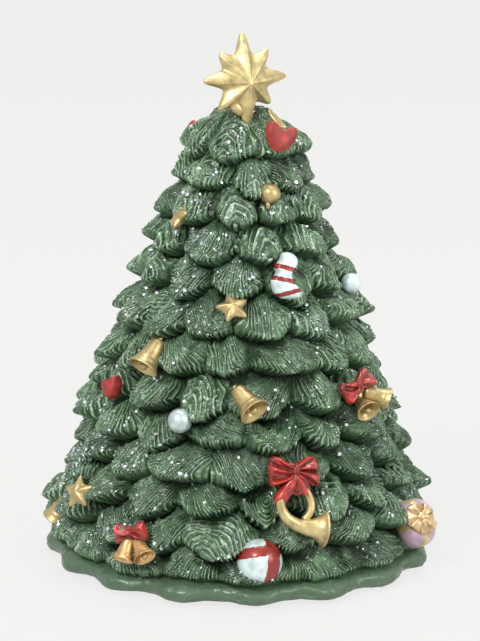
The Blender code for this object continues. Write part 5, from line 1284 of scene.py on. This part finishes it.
class MUSICTREE_OT_stage(bpy.types.Operator):
    """Set up the camera, the floor and the lamps"""

    bl_idname = "music_tree.stage"
    bl_label = "Stage"

    def execute(self, context):
        settings, scene = context.scene.stage_settings, context.scene
        rise, distance = settings.elevation, settings.distance
        lens = bpy.data.cameras.new("camera")
        lens.lens, lens.sensor_width = CAMERA_LENS, 36
        lens.clip_start, lens.clip_end = 0.01, 20
        spot = (CAMERA_AIM[0], -distance * math.cos(rise), CAMERA_HEIGHT + distance * math.sin(rise))
        scene.camera = new_object("camera", lens, looking(spot, CAMERA_AIM) @ turn(CAMERA_ROLL, "Z"))
        self.floor(settings)
        self.lamps(scene, settings)
        scene.view_settings.view_transform = "Standard"
        return {"FINISHED"}

    @staticmethod
    def floor(settings):
        """A pale floor with the shadow on it, which the camera and mirror-like surfaces see at full
        brightness."""
        size, low = 6.0, -0.2 * MM
        mesh = bpy.data.meshes.new("floor")
        mesh.from_pydata([(-size, -size, low), (size, -size, low), (size, size, low), (-size, size, low)], [],
                         [(0, 1, 2, 3)])
        finish = Finish("floor_paint", base_color=times(settings.backdrop, 0.75), roughness=0.9)
        glow = finish.add("ShaderNodeEmission", {}, {"Color": settings.backdrop, "Strength": 1.0})
        path = finish.nodes.new("ShaderNodeLightPath")
        seen = Signal(finish, path.outputs["Is Camera Ray"])
        for ray in ("Is Glossy Ray", "Is Transmission Ray"):
            seen = seen.math("MAXIMUM", seen, Signal(finish, path.outputs[ray]))
        matt = Signal(finish, finish.shader.outputs[0])
        mixed = finish.add("ShaderNodeMixShader", {}, {0: seen * 0.9, 1: matt, 2: glow})
        finish.links.new(mixed.socket, finish.nodes["Material Output"].inputs["Surface"])
        mesh.materials.append(finish.material)
        new_object("floor", mesh)

    @staticmethod
    def lamps(scene, settings):
        """The even light all round, which the camera sees as the backdrop, and three soft lamps."""
        world = bpy.data.worlds.new("studio")
        world.use_nodes = True
        scene.world = world
        nodes, links = world.node_tree.nodes, world.node_tree.links
        nodes.clear()
        path, mix, output, light, shown, largest = (nodes.new(f"ShaderNode{kind}") for kind in (
            "LightPath", "MixShader", "OutputWorld", "Background", "Background", "Math"))
        light.inputs["Color"].default_value = (1, 1, 1, 1)
        light.inputs["Strength"].default_value = settings.sky
        shown.inputs["Color"].default_value = (*settings.backdrop, 1)
        largest.operation = "MAXIMUM"
        for source, target in ((path.outputs["Is Camera Ray"], largest.inputs[0]),
                               (path.outputs["Is Transmission Ray"], largest.inputs[1]),
                               (largest.outputs[0], mix.inputs[0]), (light.outputs[0], mix.inputs[1]),
                               (shown.outputs[0], mix.inputs[2]), (mix.outputs[0], output.inputs["Surface"])):
            links.new(source, target)
        # Each lamp: its place and size in metres, and its power in watts
        for name, spot, size, power in (("key_lamp", (-0.45, -0.75, 0.85), 0.35, 9.0),
                                        ("fill_lamp", (0.8, -0.5, 0.5), 0.5, 4.0),
                                        ("top_lamp", (0.1, 0.25, 1.1), 0.45, 6.0)):
            lamp = bpy.data.lights.new(name, "AREA")
            lamp.size, lamp.energy = size, power
            new_object(name, lamp, looking(spot, LAMP_AIM))


SETTINGS = {"foliage_settings": FoliageSettings, "glitter_settings": GlitterSettings,
            "paint_settings": PaintSettings, "stage_settings": StageSettings}
OPERATORS = (MUSICTREE_OT_foliage, MUSICTREE_OT_glitter, MUSICTREE_OT_stars, MUSICTREE_OT_hearts,
             MUSICTREE_OT_baubles, MUSICTREE_OT_bells, MUSICTREE_OT_bows, MUSICTREE_OT_stockings,
             MUSICTREE_OT_horn, MUSICTREE_OT_parcel, MUSICTREE_OT_underside, MUSICTREE_OT_movement,
             MUSICTREE_OT_stage)


class MUSICTREE_PT_panel(bpy.types.Panel):
    """Lists the settings and the pieces"""

    bl_idname = "MUSICTREE_PT_panel"
    bl_label = "Christmas Tree Music Box"
    bl_space_type = "VIEW_3D"
    bl_region_type = "UI"
    bl_category = "Music Box"

    def draw(self, context):
        for name, group in SETTINGS.items():
            box = self.layout.box()
            for setting in group.__annotations__:
                box.prop(getattr(context.scene, name), setting)
        for operator in OPERATORS:
            self.layout.operator(operator.bl_idname)


def register():
    for group in (*SETTINGS.values(), *OPERATORS, MUSICTREE_PT_panel):
        bpy.utils.register_class(group)
    for name, group in SETTINGS.items():
        setattr(bpy.types.Scene, name, PointerProperty(type=group))


def unregister():
    for name in SETTINGS:
        delattr(bpy.types.Scene, name)
    for group in reversed((*SETTINGS.values(), *OPERATORS, MUSICTREE_PT_panel)):
        bpy.utils.unregister_class(group)


def main():
    register()
    for operator in OPERATORS:
        getattr(bpy.ops.music_tree, operator.bl_idname.split(".")[1])()


if __name__ == "__main__":
    main()
